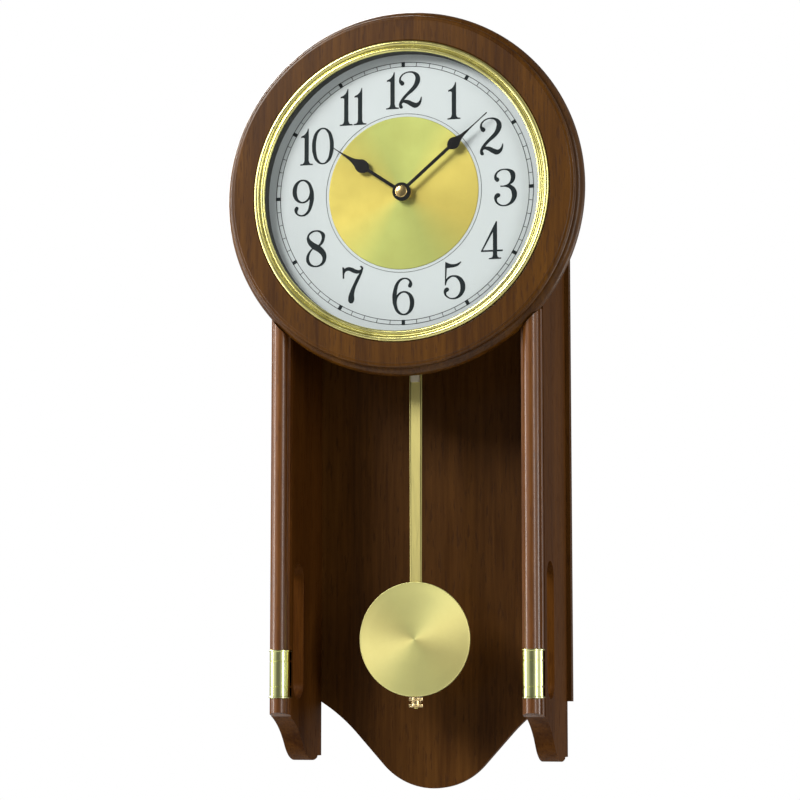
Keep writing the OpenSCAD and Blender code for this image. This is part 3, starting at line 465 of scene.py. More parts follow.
def arc(x, y, r, start, end, steps):
    turns = [math.radians(start + (end - start) * i / steps) for i in range(steps + 1)]
    return [(x + r * math.cos(turn), y + r * math.sin(turn)) for turn in turns]


def corners(points):  # the points of an outline, as sharp ones
    return [(x, y, True) for x, y in points]


def soften(bm, size, steps=2, limit=35):  # rounds every edge sharper than the limit
    sharp = [edge for edge in bm.edges if edge.calc_face_angle(0) > math.radians(limit)]
    bmesh.ops.bevel(bm, geom=sharp, offset=size, segments=steps, affect="EDGES", profile=0.5,
                    material=-1, clamp_overlap=True)


def lathe(profile, steps=128, closed=False):  # a profile of (radius, z) spun about z
    bm = bmesh.new()
    verts = [bm.verts.new((r, 0, z)) for r, z in profile]
    ends = zip(verts, verts[1:] + verts[:1] if closed else verts[1:])
    edges = [bm.edges.new(pair) for pair in ends]
    bmesh.ops.spin(bm, geom=verts + edges, axis=(0, 0, 1), cent=(0, 0, 0), dvec=(0, 0, 0),
                   angle=2 * math.pi, steps=steps, use_merge=True, use_duplicate=False)
    bmesh.ops.remove_doubles(bm, verts=bm.verts, dist=1e-4)
    bmesh.ops.recalc_face_normals(bm, faces=bm.faces)
    return bm


def flatShape(outlines, fine=6):  # outlines filled as one flat sheet, with their holes
    curve = bpy.data.curves.new("outline", "CURVE")
    curve.dimensions = "2D"
    curve.fill_mode = "BOTH"
    curve.resolution_u = fine
    for outline in outlines:
        spline = curve.splines.new("BEZIER")
        spline.bezier_points.add(len(outline) - 1)
        spline.use_cyclic_u = True
        for point, spot in zip(spline.bezier_points, outline):
            point.co = (spot[0], spot[1], 0)
            kind = "VECTOR" if len(spot) > 2 else "AUTO"
            point.handle_left_type = kind
            point.handle_right_type = kind
    holder = bpy.data.objects.new("outline", curve)
    bpy.context.scene.collection.objects.link(holder)
    graph = bpy.context.evaluated_depsgraph_get()
    mesh = bpy.data.meshes.new_from_object(holder.evaluated_get(graph))
    bm = bmesh.new()
    bm.from_mesh(mesh)
    bpy.data.objects.remove(holder)
    bpy.data.curves.remove(curve)
    bpy.data.meshes.remove(mesh)
    bmesh.ops.remove_doubles(bm, verts=bm.verts, dist=1e-4)
    return bm


def grow(bm, faces, rise):  # extrudes faces along z and returns the moved ones
    moved = bmesh.ops.extrude_face_region(bm, geom=faces)["geom"]
    bmesh.ops.translate(bm, vec=(0, 0, rise), verts=[g for g in moved if isinstance(g, bmesh.types.BMVert)])
    return [g for g in moved if isinstance(g, bmesh.types.BMFace)]


def plate(outlines, low, high, edge=0.0, steps=2, fine=6):  # a flat sheet from one level to another
    bm = flatShape(outlines, fine)
    bmesh.ops.translate(bm, vec=(0, 0, low), verts=bm.verts)
    grow(bm, bm.faces[:], high - low)
    bmesh.ops.recalc_face_normals(bm, faces=bm.faces)
    if edge:
        soften(bm, edge, steps)
    return bm


def roundedBox(low, high, edge, steps=3):
    bm = bmesh.new()
    bmesh.ops.create_cube(bm, size=1)
    size = Vector(high) - Vector(low)
    bmesh.ops.scale(bm, vec=size, verts=bm.verts)
    bmesh.ops.translate(bm, vec=(Vector(low) + Vector(high)) / 2, verts=bm.verts)
    soften(bm, edge, steps)
    return bm


def roundedRectangle(x0, x1, y0, y1, r, steps=6):
    return corners(arc(x1 - r, y1 - r, r, 0, 90, steps) + arc(x0 + r, y1 - r, r, 90, 180, steps)
                   + arc(x0 + r, y0 + r, r, 180, 270, steps) + arc(x1 - r, y0 + r, r, 270, 360, steps))


def circleOutline(x, y, r, steps=48):
    return corners(arc(x, y, r, 0, 360 - 360 / steps, steps - 1))


def knurl(r, depth, teeth):  # the outline of a milled rim
    step = 360 / teeth
    radii = [(r - depth, 0.1), (r, 0.35), (r, 0.65), (r - depth, 0.9)]
    turns = [(reach, math.radians((i + share) * step)) for i in range(teeth) for reach, share in radii]
    return corners([(reach * math.cos(turn), reach * math.sin(turn)) for reach, turn in turns])


def turned(bm, angle, axis, move=(0, 0, 0)):
    turn = Matrix.Rotation(math.radians(angle), 3, axis)
    bmesh.ops.rotate(bm, verts=bm.verts, cent=(0, 0, 0), matrix=turn)
    bmesh.ops.translate(bm, vec=move, verts=bm.verts)
    return bm


def mirrored(bm):  # a copy on the other side of the clock
    other = bm.copy()
    bmesh.ops.scale(other, vec=(-1, 1, 1), verts=other.verts)
    bmesh.ops.reverse_faces(other, faces=other.faces)
    return other


def addPiece(name, bm, finish, body, replaced=(), smooth=38):
    bm.transform(toWorld)
    mesh = bpy.data.meshes.new(name)
    bm.to_mesh(mesh)
    bm.free()
    mesh.materials.append(finish)
    mesh.shade_smooth()
    mesh.set_sharp_from_angle(angle=math.radians(smooth))
    piece = bpy.data.objects.new(name, mesh)
    bpy.context.scene.collection.objects.link(piece)
    # big flat faces keep their own normal beside a rounded edge
    even = piece.modifiers.new("evenShading", "WEIGHTED_NORMAL")
    even.keep_sharp = True
    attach(piece, body)
    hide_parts(*replaced)
    return piece


# ---- head
ring = {"bead": 2.6, "edge": 6.3, "beadIn": 7.0, "beadDown": 3.1, "step": 0.45, "quirk": 0.35,
        "rabbet": 1.8, "clear": 0.03}


def makeRing():
    low, high = place("head_ring")
    bore = place("dial_board")[1].x + 0.2
    seat = bezelHigh.x * 1000 + 0.25
    back, face = low.z, high.z
    rim = high.x - ring["clear"]
    beadX, beadZ = rim - ring["beadIn"], face - ring["beadDown"]
    edgeX, edgeZ = rim - ring["edge"], back + ring["edge"] + 0.1
    profile = [(bore, back), (bore, face - ring["rabbet"]), (seat, face - ring["rabbet"]), (seat, face - 0.5)]
    profile += arc(seat + 0.5, face - 0.5, 0.5, 150, 90, 3)
    profile += [(beadX - 0.9, face), (beadX - 0.6, face - ring["quirk"]),
                (beadX - 0.2, face - ring["step"])]
    profile += arc(beadX, beadZ, ring["bead"] - 0.05, 88, -48, 14)
    profile += arc(edgeX, edgeZ, ring["edge"], 79, -88, 22)
    profile += [(edgeX, back)]
    addPiece("ringBoard", lathe(profile, 180, True), wood["ring"], "case", ["head_ring"])


bezelShape = {"outer": 1.9, "inner": 1.55, "lip": 0.55, "width": 8.0, "inset": 1.6, "depth": 3.3}


def makeBezel():
    high = place("bezel")[1]
    glassHigh = place("glass")[1]
    spacer = place("spacer_ring")[0]
    outerX = high.x - bezelShape["outer"]
    innerX = high.x - bezelShape["width"] + bezelShape["inset"]
    level = glassHigh.z
    skirt = glassHigh.x + 0.4
    under = high.z - bezelShape["depth"]
    profile = [(high.x, under), (high.x, level + 0.1)]
    profile += arc(outerX, level + 0.1, bezelShape["outer"], 8, 150, 14)
    profile += [(outerX - 2.1, level + bezelShape["lip"]), (innerX + 1.75, level + 0.45)]
    profile += arc(innerX, level + 0.1, bezelShape["inner"], 25, 172, 12)
    profile += [(innerX - 1.6, level), (skirt, level), (skirt, spacer.z + 1), (skirt + 2, spacer.z + 1),
                (skirt + 2, under)]
    addPiece("bezelRim", lathe(profile, 180, True), metal["bezel"], "case", ["bezel"])


dial = {"round": 0.12, "stem": 5.15}


def makeDial():
    low, high = place("dial_plate")
    r = dial["round"]
    profile = [(dial["stem"], low.z), (dial["stem"], high.z - r), (dial["stem"] + r, high.z),
               (high.x - r, high.z), (high.x, high.z - r), (high.x, low.z)]
    addPiece("dialFace", lathe(profile, 160, True), moulded["enamel"], "case", ["dial_plate"])
    low, high = place("dial_disc")
    profile = [(dial["stem"], low.z), (dial["stem"], high.z - r), (dial["stem"] + r, high.z)]
    profile += [(high.x - 0.5, high.z), (high.x - 0.2, high.z - 0.06), (high.x, high.z - 0.25),
                (high.x, low.z)]
    addPiece("dialCentre", lathe(profile, 160, True), metal["disc"], "case", ["dial_disc"])
    low, high = place("glass")
    profile = [(0, low.z), (high.x - 0.3, low.z), (high.x, low.z + 0.3), (high.x, high.z - 0.3),
               (high.x - 0.3, high.z), (0, high.z)]
    addPiece("dialGlass", lathe(profile, 128), pane, "case", ["glass"])


# The numerals are drawn 100 high about their centre; a third value marks a sharp corner.
glyphs = {
    0: [[(0, 50), (17.5, 41.5), (27, 21), (29.4, 0), (27, -21), (17.5, -41.5), (0, -50), (-17.5, -41.5),
         (-27, -21), (-29.4, 0), (-27, 21), (-17.5, 41.5)],
        [(0, 46.2), (11.5, 37.5), (17.4, 19), (18.8, 0), (17.4, -19), (11.5, -37.5), (0, -46.2),
         (-11.5, -37.5), (-17.4, -19), (-18.8, 0), (-17.4, 19), (-11.5, 37.5)]],
    1: [[(-17, -50, 1), (17, -50, 1), (17, -46.8, 1), (8.8, -44.6), (5.7, -37, 1), (5.7, 50, 1), (3.4, 50, 1),
         (1, 42.5), (-5.5, 34), (-15, 29, 1), (-15, 25, 1), (-9.5, 25.6), (-5.7, 23.5, 1), (-5.7, -37, 1),
         (-8.8, -44.6), (-17, -46.8, 1)]],
    2: [[(30.3, -21, 1), (28, -21.5, 1), (25, -30), (18, -36.4), (8, -34), (-4, -28), (-16, -26.5, 1),
         (-6, -15.5), (9, -3.5), (22, 12), (26.5, 27), (21.5, 41.5), (9, 48.8), (-1.5, 50), (-14, 47.6),
         (-25, 40), (-30, 28.5), (-28, 18), (-21.5, 12.3), (-15.6, 17.6), (-18.6, 23.6), (-23.8, 27.4),
         (-24.6, 32), (-20, 39.8), (-11, 45.2), (-1.5, 46.4), (7.5, 43.2), (13, 35), (13, 26), (8, 12),
         (-4, -2), (-19, -18), (-28.6, -33), (-30, -42), (-27.6, -48.5), (-23.6, -50), (-19.8, -47),
         (-21, -42.5), (-22.6, -38.5), (-19.5, -34.6), (-11, -37), (1.5, -45), (13, -50), (24.5, -44),
         (30, -31)]],
    3: [[(-13.5, 5.4, 1), (-2.7, 5.9), (8, 10.8), (13.4, 21), (13.3, 31.5), (8.8, 41.3), (-1.6, 46.4),
         (-13.5, 44.2), (-22, 36), (-22.6, 29.6), (-17.6, 25.6), (-16, 20.5), (-20.5, 15.8), (-26.6, 19.3),
         (-29.5, 28), (-26, 39), (-15.5, 47.8), (-1.6, 50), (14, 47.5), (23.8, 39.5), (25.8, 29.5),
         (22.4, 16), (12.8, 6.9, 1), (21, 1.5), (28, -9), (29.8, -19.5), (25.7, -33.5), (13, -46), (-4, -50),
         (-20, -45.2), (-29.3, -31), (-27.8, -19.5), (-20, -14), (-13.8, -18.5), (-16, -24.5),
         (-21.5, -27.5), (-22.6, -32.8), (-17.5, -41), (-4.5, -46.4), (8, -41.5), (15.4, -29), (16, -17),
         (11.5, -5), (1.5, 0.8), (-13.5, 2, 1)]],
    4: [[(10.5, 50, 1), (13.4, 50, 1), (13.4, -25.5, 1), (28, -25.5, 1), (28, -30, 1), (13.4, -30, 1),
         (13.4, -38, 1), (15.8, -44.8), (24, -46.8, 1), (24, -50, 1), (-8, -50, 1), (-8, -46.8, 1),
         (0.2, -44.8), (2.6, -38, 1), (2.6, -30, 1), (-28.5, -30, 1), (-28.5, -27.6, 1)],
        [(2.6, -25.5, 1), (-23.4, -25.5, 1), (2.6, 22, 1)]],
    5: [[(17, 49.5, 1), (18.3, 47.8, 1), (11.5, 40), (0, 35), (-11, 33.8), (-19.6, 33, 1), (-21.4, 4, 1),
         (-14, 10.8), (-3, 13.8), (13.5, 10), (25.5, -3.5), (28.6, -17), (25.6, -32), (14, -45.5),
         (-3, -50.3),
         (-19.5, -44.8), (-27.4, -34), (-26.6, -24), (-20.5, -18.3), (-14.3, -21.5), (-15.2, -27.5),
         (-20.5, -31.2), (-21.2, -35.5), (-16, -42.6), (-5.3, -46.6), (7, -42), (14, -31.5), (15.6, -17),
         (11.5, -1.5), (-1, 9.2), (-13, 5.4), (-20.3, -4.5), (-21.8, -12, 1), (-24.8, -13, 1),
         (-23.8, 50, 1), (-20.5, 48.6), (-9, 43.8), (4.5, 43.6)]],
    6: [[(2, 50), (16, 46), (23.4, 34.5), (22.5, 27), (17.5, 22.6), (12.4, 27), (14.6, 33.5), (15.6, 38.4),
         (11.5, 43.6), (2, 45.8), (-9, 38.5), (-15.5, 22), (-17.4, 4.2, 1), (-10, 11.2), (2, 14.4),
         (17.5, 8.8), (27, -5), (28.9, -18.5), (25, -35), (14.5, -46.5), (0.5, -50.3), (-14.5, -44.6),
         (-25, -27), (-29, -3), (-26.5, 17), (-19.5, 36), (-9.5, 46.8)],
        [(2, 10), (12, 3.8), (16.7, -10), (16.7, -25), (12, -39.6), (1.5, -46), (-10, -39), (-16.2, -25),
         (-16.9, -10), (-10, 4.4)]],
    7: [[(-28, 48, 1), (-23.4, 47.4, 1), (-23, 43.4, 1), (-13, 47.6), (-1, 45.4), (10.5, 39.8), (19.5, 39.2),
         (22.3, 43.3), (18.5, 47.4, 1), (21.5, 50.3, 1), (27.4, 45.3), (26.6, 37), (17.5, 14), (8, -7),
         (3.6, -26), (3.4, -43), (-2.5, -50), (-10.5, -46.5), (-11.8, -35), (-7.2, -18.5), (1, 0),
         (11.6, 21), (17.4, 30, 1), (10.5, 29.2), (-1, 32.8), (-12.5, 37.8), (-20.8, 33.8), (-23, 17, 1),
         (-26.9, 17, 1)]],
    8: [[(-1, 50), (13, 47), (22.8, 37.8), (22.8, 27), (18.5, 14.8), (10.9, 6.4, 1), (20, -3), (26.6, -15),
         (27, -26), (22, -40), (11, -48), (-1.6, -50), (-15, -47.5), (-25, -38), (-27.2, -25.5),
         (-23, -12), (-11.8, 1, 1), (-20, 10.5), (-25.2, 22), (-25, 33), (-17, 45)],
        [(-1, 45.8), (-11, 42.7), (-18.5, 35.6), (-18.8, 29.5), (-11, 20), (5.5, 9.4, 1), (11.5, 17.5),
         (14.3, 28), (12.2, 38), (6.5, 43.8)],
        [(-9, -1.2, 1), (8, -12.6), (15.5, -22.6), (16.4, -31), (11, -41.6), (0, -46), (-11, -42.8),
         (-18.2, -33), (-19, -22), (-15.6, -10.6)]],
}
glyphs[9] = [[(-spot[0], -spot[1], *spot[2:]) for spot in outline] for outline in glyphs[6]]
numerals = {
    "height": 26.8, "width": 1.036,
    "pairs": {10: (-27.2, 16.8), 11: (-18.6, 18.6), 12: (-28.6, 18.6)},  # where each digit stands
}


def makeNumerals():
    low, high = place("dial_numerals")
    radius = (high.y - low.y) / 2 - numerals["height"] / 2
    parts = []
    for hour in range(1, 13):
        digits = [hour] if hour < 10 else [1, hour - 10]
        shifts = numerals["pairs"].get(hour, (0,))
        turn = math.radians(30 * hour)
        for digit, shift in zip(digits, shifts):
            k = numerals["height"] / 100
            x, y = radius * math.sin(turn), radius * math.cos(turn)
            drawn = [[((spot[0] + shift) * k * numerals["width"] + x, spot[1] * k + y, *spot[2:])
                      for spot in outline] for outline in glyphs[digit]]
            parts.append(plate(drawn, low.z, high.z, fine=5))
    addPiece("dialNumerals", gather(*parts), moulded["ink"], "case", ["dial_numerals"])


track = {"line": 0.42, "tick": 0.4, "mark": 2.5, "over": 0.35, "width": 3.0, "thin": 0.3, "clear": 2.1}


def makeTrack():
    low, high = place("minute_track")
    outer = high.x - 0.25
    inner = outer - track["width"]
    half = track["line"] / 2
    parts = [plate([circleOutline(0, 0, r + half, 180), circleOutline(0, 0, r - half, 180)], low.z, high.z)
             for r in (inner, outer)]
    rim = place("dial_disc")[1].x + track["clear"]
    parts.append(plate([circleOutline(0, 0, rim + track["thin"] / 2, 150),
                        circleOutline(0, 0, rim - track["thin"] / 2, 150)], low.z, high.z))
    for minute in range(60):
        wide = (track["mark"] if minute % 5 == 0 else track["tick"]) / 2
        over = track["over"] if minute % 5 == 0 else -half
        tick = roundedBox((-wide, inner - over, low.z), (wide, outer + over, high.z), 0.02, 1)
        parts.append(turned(tick, -6 * minute, "Z"))
    addPiece("minuteTrack", gather(*parts), moulded["ink"], "case", ["minute_track"])


makeRing()
makeBezel()
makeDial()
makeNumerals()
makeTrack()
print("head and dial made")

# ---- hands
handShape = {
    "minute": {"spade": 50.6, "spadeWidth": 8.4, "arm": 1.15, "hub": 6.5, "hole": 1.8},
    "hour": {"spade": 36.2, "spadeWidth": 9.6, "arm": 1.2, "hub": 6.5, "hole": 3.0},
    "edge": 0.14,
}


def handOutline(length, shape):
    r, arm, at = shape["spadeWidth"] / 2, shape["arm"], shape["spade"]
    join = math.degrees(math.asin(arm / shape["hub"]))
    hub = corners(arc(0, 0, shape["hub"], 90 - join, -270 + join, 60))
    side = [(arm, at - r * 1.28, True), (r * 0.62, at - r * 0.98), (r * 0.97, at - r * 0.35),
            (r * 0.93, at + r * 0.3), (r * 0.6, at + r * 0.95), (r * 0.34, at + r * 1.7),
            (r * 0.2, at + r * 2.7), (0.42, at + r * 4),
            (0.32, length, True)]
    left = [(-x, y, *rest) for x, y, *rest in side]
    return hub + left + side[::-1]


def makeHand(kind, node, name, turn):
    low, high = place(node)
    shape = handShape[kind]
    outline = handOutline(shape["length"], shape)
    bm = plate([outline, circleOutline(0, 0, shape["hole"], 32)], low.z, high.z, handShape["edge"], 2, 5)
    addPiece(name, turned(bm, -turn, "Z"), moulded["hand"], kind, [node])


def handReach(node):  # length and turn of a hand, from its farthest point
    spots = [toDial @ vert.co for vert in nodes[node].data.vertices]
    tip = max(spots, key=lambda spot: math.hypot(spot.x, spot.y))
    return math.hypot(tip.x, tip.y), math.degrees(math.atan2(tip.x, tip.y))


for kind, node, name in (("minute", "minute_hand", "minuteHand"), ("hour", "hour_hand", "hourHand")):
    handShape[kind]["length"], handTurn = handReach(node)
    makeHand(kind, node, name, handTurn)


def makeCap():
    low, high = place("hand_cap")
    r, rise = high.x, high.z - low.z
    profile = [(0, low.z), (r - 0.3, low.z), (r, low.z + 0.25), (r, low.z + rise * 0.35)]
    profile += [(r * math.cos(math.radians(a)), low.z + rise * (0.35 + 0.65 * math.sin(math.radians(a))))
                for a in range(10, 91, 10)]
    addPiece("handCap", lathe(profile, 64), metal["cap"], "minute", ["hand_cap"])


makeCap()
print("hands made")

# ---- case
panelLow, panelHigh = place("right_side_panel")
backLow, backHigh = place("back_panel")
boardLow, boardHigh = place("head_board")
ogee = {"footOut": 4.0, "footUp": 30.0, "heelOut": 45.5, "heelUp": 9.0, "sag": 3.0, "noseOut": 20.5,
        "noseRadius": 32.0, "noseDrop": 3.0, "toe": 9.5}
case = {"edge": 0.8, "footEdge": 2.6, "slotOut": 56.6, "slotLow": -357.0, "slotHigh": -261.0,
        "slotWidth": 24.0}
panelFoot = panelLow.y + ogee["noseDrop"]
ringBack = panelHigh.z
foot = Vector((ringBack + ogee["footOut"], panelFoot + ogee["footUp"]))
heel = Vector((backHigh.z + ogee["heelOut"], panelFoot + ogee["heelUp"]))
nose = Vector((backHigh.z + ogee["noseOut"], panelFoot + ogee["noseRadius"] - ogee["noseDrop"]))


def hollowHeight(out):  # the hollow between foot and heel
    chord = foot - heel
    r = ((chord.length / 2) ** 2 + ogee["sag"] ** 2) / (2 * ogee["sag"])
    away = Vector((chord.y, -chord.x)).normalized()
    centre = (foot + heel) / 2 + away * (r - ogee["sag"])
    return centre.y + math.sqrt(r ** 2 - (out - centre.x) ** 2)


def makePanel():
    back, top = panelLow.z, panelHigh.y
    toe = back + ogee["toe"]
    notchOut = boardLow.z - 0.2
    notchMark = -90.0
    steps = 24
    outs = [toe + (heel.x - toe) * i / steps for i in range(steps)]
    under = [(out, nose.y - math.sqrt(ogee["noseRadius"] ** 2 - (out - nose.x) ** 2)) for out in outs]
    outs = [heel.x + (ringBack - heel.x) * i / steps for i in range(steps + 1)]
    under += [(out, hollowHeight(out)) for out in outs]
    outline = [(back, panelFoot), (toe, panelFoot)] + under
    outline += [(ringBack, notchMark), (notchOut, notchMark), (notchOut, top), (back, top)]
    slotOut, r = backHigh.z + case["slotOut"], case["slotWidth"] / 2
    slot = arc(slotOut, case["slotHigh"] - r, r, 0, 180, 20)
    slot += arc(slotOut, case["slotLow"] + r, r, 180, 360, 20)
    bm = plate([corners(outline), corners(slot)], panelLow.x, panelHigh.x)
    for vert in bm.verts:  # the notch follows the round head board
        if abs(vert.co.y - notchMark) < 0.01:
            vert.co.y = -math.sqrt((boardHigh.x + 0.8) ** 2 - vert.co.z ** 2)
    curved = [edge for edge in bm.edges if all(
        vert.co.y < foot.y + 0.2 and vert.co.x > toe - 0.1 for vert in edge.verts)
        and abs(edge.verts[0].co.z - edge.verts[1].co.z) < 0.01 and edge.calc_face_angle(0) > 1]
    bmesh.ops.bevel(bm, geom=curved, offset=case["footEdge"], segments=5, affect="EDGES", profile=0.5,
                    material=-1, clamp_overlap=True)
    soften(bm, case["edge"], 3)
    # the outline was drawn as (out, y), so its axes change places
    bm.transform(Matrix(((0, 0, 1, 0), (0, 1, 0, 0), (1, 0, 0, 0), (0, 0, 0, 1))))
    bmesh.ops.recalc_face_normals(bm, faces=bm.faces)
    other = mirrored(bm)
    addPiece("rightPanel", bm, wood["panel"], "case", ["right_side_panel"])
    addPiece("leftPanel", other, wood["panel"], "case", ["left_side_panel"])


tail = {"radius": 50.0, "slope": 48.0, "run": 30.5, "hollow": 126.6, "notchIn": 0.7}


def tailOutline():  # right half of the waved tail, from its lowest point up to the notch
    slope = tail["slope"]
    points = arc(0, backLow.y + tail["radius"], tail["radius"], -90, slope - 90, 16)
    way = Vector((math.cos(math.radians(slope)), math.sin(math.radians(slope))))
    second = Vector(points[-1]) + way * tail["run"]
    centre = second + Vector((way.y, -way.x)) * tail["hollow"]
    notchX = panelLow.x + tail["notchIn"]
    end = math.degrees(math.acos((notchX - centre.x) / tail["hollow"]))
    return points + arc(centre.x, centre.y, tail["hollow"], slope + 90, end, 28)


def makeBack():
    half = tailOutline()
    notchY = half[-1][1]
    right = half + [(backHigh.x, notchY), (backHigh.x, backHigh.y)]
    left = [(-x, y) for x, y in right[:0:-1]]
    plateLow, plateHigh = place("hanger_plate")
    gap, deep, depth = 0.2, 5.0, plateHigh.z + 0.1
    service = [(-60, -56), (60, -56), (60, 38), (-60, 38)]
    pocket = [(plateLow.x - gap, plateLow.y - gap), (plateHigh.x + gap, plateLow.y - gap),
              (plateHigh.x + gap, plateHigh.y + gap), (plateLow.x - gap, plateHigh.y + gap)]
    shank = [(-9, plateLow.y + 4), (9, plateLow.y + 4), (9, plateHigh.y - 3), (-9, plateHigh.y - 3)]
    bm = gather(flatShape([corners(right + left), corners(service), corners(pocket)]),
                flatShape([corners(pocket), corners(shank)]), flatShape([corners(shank)]))
    bmesh.ops.remove_doubles(bm, verts=bm.verts, dist=1e-4)
    bmesh.ops.translate(bm, vec=(0, 0, backHigh.z), verts=bm.verts)

    def inside(face, box):
        spot = face.calc_center_median()
        return box[0][0] < spot.x < box[1][0] and box[0][1] < spot.y < box[2][1]

    faces = grow(bm, bm.faces[:], deep - backHigh.z)
    faces = grow(bm, [face for face in faces if not inside(face, shank)], depth - deep)
    grow(bm, [face for face in faces if not inside(face, pocket)], -depth)
    bmesh.ops.recalc_face_normals(bm, faces=bm.faces)
    soften(bm, 0.6, 2, 60)
    addPiece("backPanel", bm, wood["back"], "case", ["back_panel"])


def makeTopBoard():
    low, high = place("top_board")
    addPiece("topBoard", roundedBox(low, high, 0.7), wood["top"], "case", ["top_board"])


column = {"width": 14.4, "radius": 5.6, "soft": 0.5}


def columnRows():  # half-width and distance out of the moulding's section
    low, high = place("right_column")
    half, r = column["width"] / 2, column["radius"]
    level = high.z - r
    rows = [(half, low.z), (half, level - column["soft"]),
            (half - column["soft"] * 0.35, level - column["soft"] * 0.3),
            (half - column["soft"], level - 0.06),
            (r + 0.35, level), (r + 0.12, level + 0.06), (r, level + 0.25)]
    rows += [(r * math.cos(math.radians(a)), level + r * math.sin(math.radians(a))) for a in range(8, 88, 6)]
    return rows + [(0.25, high.z)]


def makeColumns():
    low, high = place("right_column")
    centre = (low.x + high.x) / 2
    rows = columnRows()
    bm = bmesh.new()
    bmesh.ops.create_grid(bm, x_segments=1, y_segments=len(rows) - 1, size=0.5)
    for vert in bm.verts:  # the grid's rows become the section's
        half, out = rows[round((vert.co.y + 0.5) * (len(rows) - 1))]
        vert.co = (centre + (half if vert.co.x > 0 else -half), 0, out)
    ringEdge = place("head_ring")[1].x
    raised = bmesh.ops.extrude_face_region(bm, geom=bm.faces[:])["geom"]
    top = {g for g in raised if isinstance(g, bmesh.types.BMVert)}
    for vert in bm.verts:
        if vert in top:
            vert.co.y = -math.sqrt(ringEdge ** 2 - vert.co.x ** 2) - 0.1
        else:
            vert.co.y = hollowHeight(vert.co.z)
    bmesh.ops.recalc_face_normals(bm, faces=bm.faces)
    other = mirrored(bm)
    addPiece("rightColumn", bm, wood["column"], "case", ["right_column"], 28)
    addPiece("leftColumn", other, wood["column"], "case", ["left_column"], 28)


collar = {"sleeve": 0.6, "rim": 0.4, "rimHeight": 1.1, "groove": 0.35, "grooveUp": 7.4, "grooveHeight": 0.9,
          "inside": -0.7}


def makeCollars():
    low, high = place("right_collar")
    columnLow, columnHigh = place("right_column")
    centre = (columnLow.x + columnHigh.x) / 2
    back = columnLow.z
    half = column["width"] / 2
    level = columnHigh.z - half + collar["sleeve"]
    rim, rimHeight = collar["rim"], collar["rimHeight"]
    levels = [(low.y, collar["inside"]), (low.y, rim - 0.25), (low.y + 0.2, rim),
              (low.y + rimHeight - 0.2, rim), (low.y + rimHeight, rim - 0.2), (low.y + rimHeight + 0.15, 0)]
    groove, grooveHeight = low.y + collar["grooveUp"], collar["grooveHeight"]
    levels += [(groove, 0), (groove + 0.2, -collar["groove"]),
               (groove + grooveHeight - 0.2, -collar["groove"]), (groove + grooveHeight, 0)]
    levels += [(low.y + high.y - y, off) for y, off in levels[::-1]]
    bm = bmesh.new()

    def path(off):  # up one side, round the front and down the other
        r = half + off
        spots = [(r, back)] + arc(0, level, r, 0, 180, 24) + [(-r, back)]
        return [(centre + x, z) for x, z in spots]

    rows = [[bm.verts.new((x, y, z)) for x, z in path(off)] for y, off in levels]
    for lower, upper in zip(rows, rows[1:] + rows[:1]):
        pairs = [pair for row in (lower, upper) for pair in zip(row, row[1:])]
        edges = [bm.edges.get(pair) or bm.edges.new(pair) for pair in pairs]
        bmesh.ops.bridge_loops(bm, edges=edges)
    bmesh.ops.holes_fill(bm, edges=[edge for edge in bm.edges if edge.is_boundary], sides=0)
    bmesh.ops.recalc_face_normals(bm, faces=bm.faces)
    other = mirrored(bm)
    addPiece("rightCollar", bm, metal["collar"], "case", ["right_collar"])
    addPiece("leftCollar", other, metal["collar"], "case", ["left_collar"])


makePanel()
makeBack()
makeTopBoard()
makeColumns()
makeCollars()
print("case made")

# ---- pendulum
rod = {"window": 3.7, "windowLow": -130.0, "windowHigh": -125.5, "slope": 1.05, "sink": 0.32, "foot": 0.8}


def makeRod():
    low, high = place("pendulum_rod")
    wide = high.x
    narrow = wide - rod["foot"] / 2
    outline = corners([(-wide, high.y), (-narrow, low.y), (narrow, low.y), (wide, high.y)])
    hole = corners([(-rod["window"] + 0.6, rod["windowHigh"]), (-rod["window"] + 0.6, rod["windowLow"]),
                    (rod["window"] - 0.6, rod["windowLow"]), (rod["window"] - 0.6, rod["windowHigh"])])
    bm = plate([outline, hole], low.z, high.z - rod["sink"])
    face = [f for f in bm.faces if f.normal.z > 0.9]
    bmesh.ops.inset_region(bm, faces=face, thickness=rod["slope"], depth=0, use_boundary=True,
                           use_even_offset=True)
    raised = {vert for f in face for vert in f.verts}
    bmesh.ops.translate(bm, vec=(0, 0, rod["sink"]), verts=list(raised))
    addPiece("pendulumRod", bm, metal["rod"], "pendulum", ["pendulum_rod"], 12)


stud = {"radius": 1.5, "depth": 0.22, "pitch": 0.8, "block": 7.2}


def makeStud():
    low, high = place("rod_stud")
    out = (low.z + high.z) / 2
    blockLow = place("pendulum_rod")[0].y - 8
    block = roundedBox((-stud["block"] / 2, blockLow, low.z), (stud["block"] / 2, high.y, high.z), 0.3)
    r, turns = stud["radius"], int((blockLow - low.y) / stud["pitch"])
    profile = [(0, low.y), (r - 0.4, low.y)]
    for i in range(turns):
        y = low.y + 0.3 + i * stud["pitch"]
        profile += [(r, y + 0.2), (r - stud["depth"], y + 0.6)]
    profile += [(r, blockLow + 0.5), (0, blockLow + 0.5)]
    thread = turned(lathe(profile, 32), -90, "X", (0, 0, out))
    addPiece("rodStud", gather(block, thread), metal["rod"], "pendulum", ["rod_stud"])


bob = {"thickness": 2.6, "dome": 0.45, "rim": 0.9, "soft": 0.5, "loop": 8.0, "tongue": 4.0}


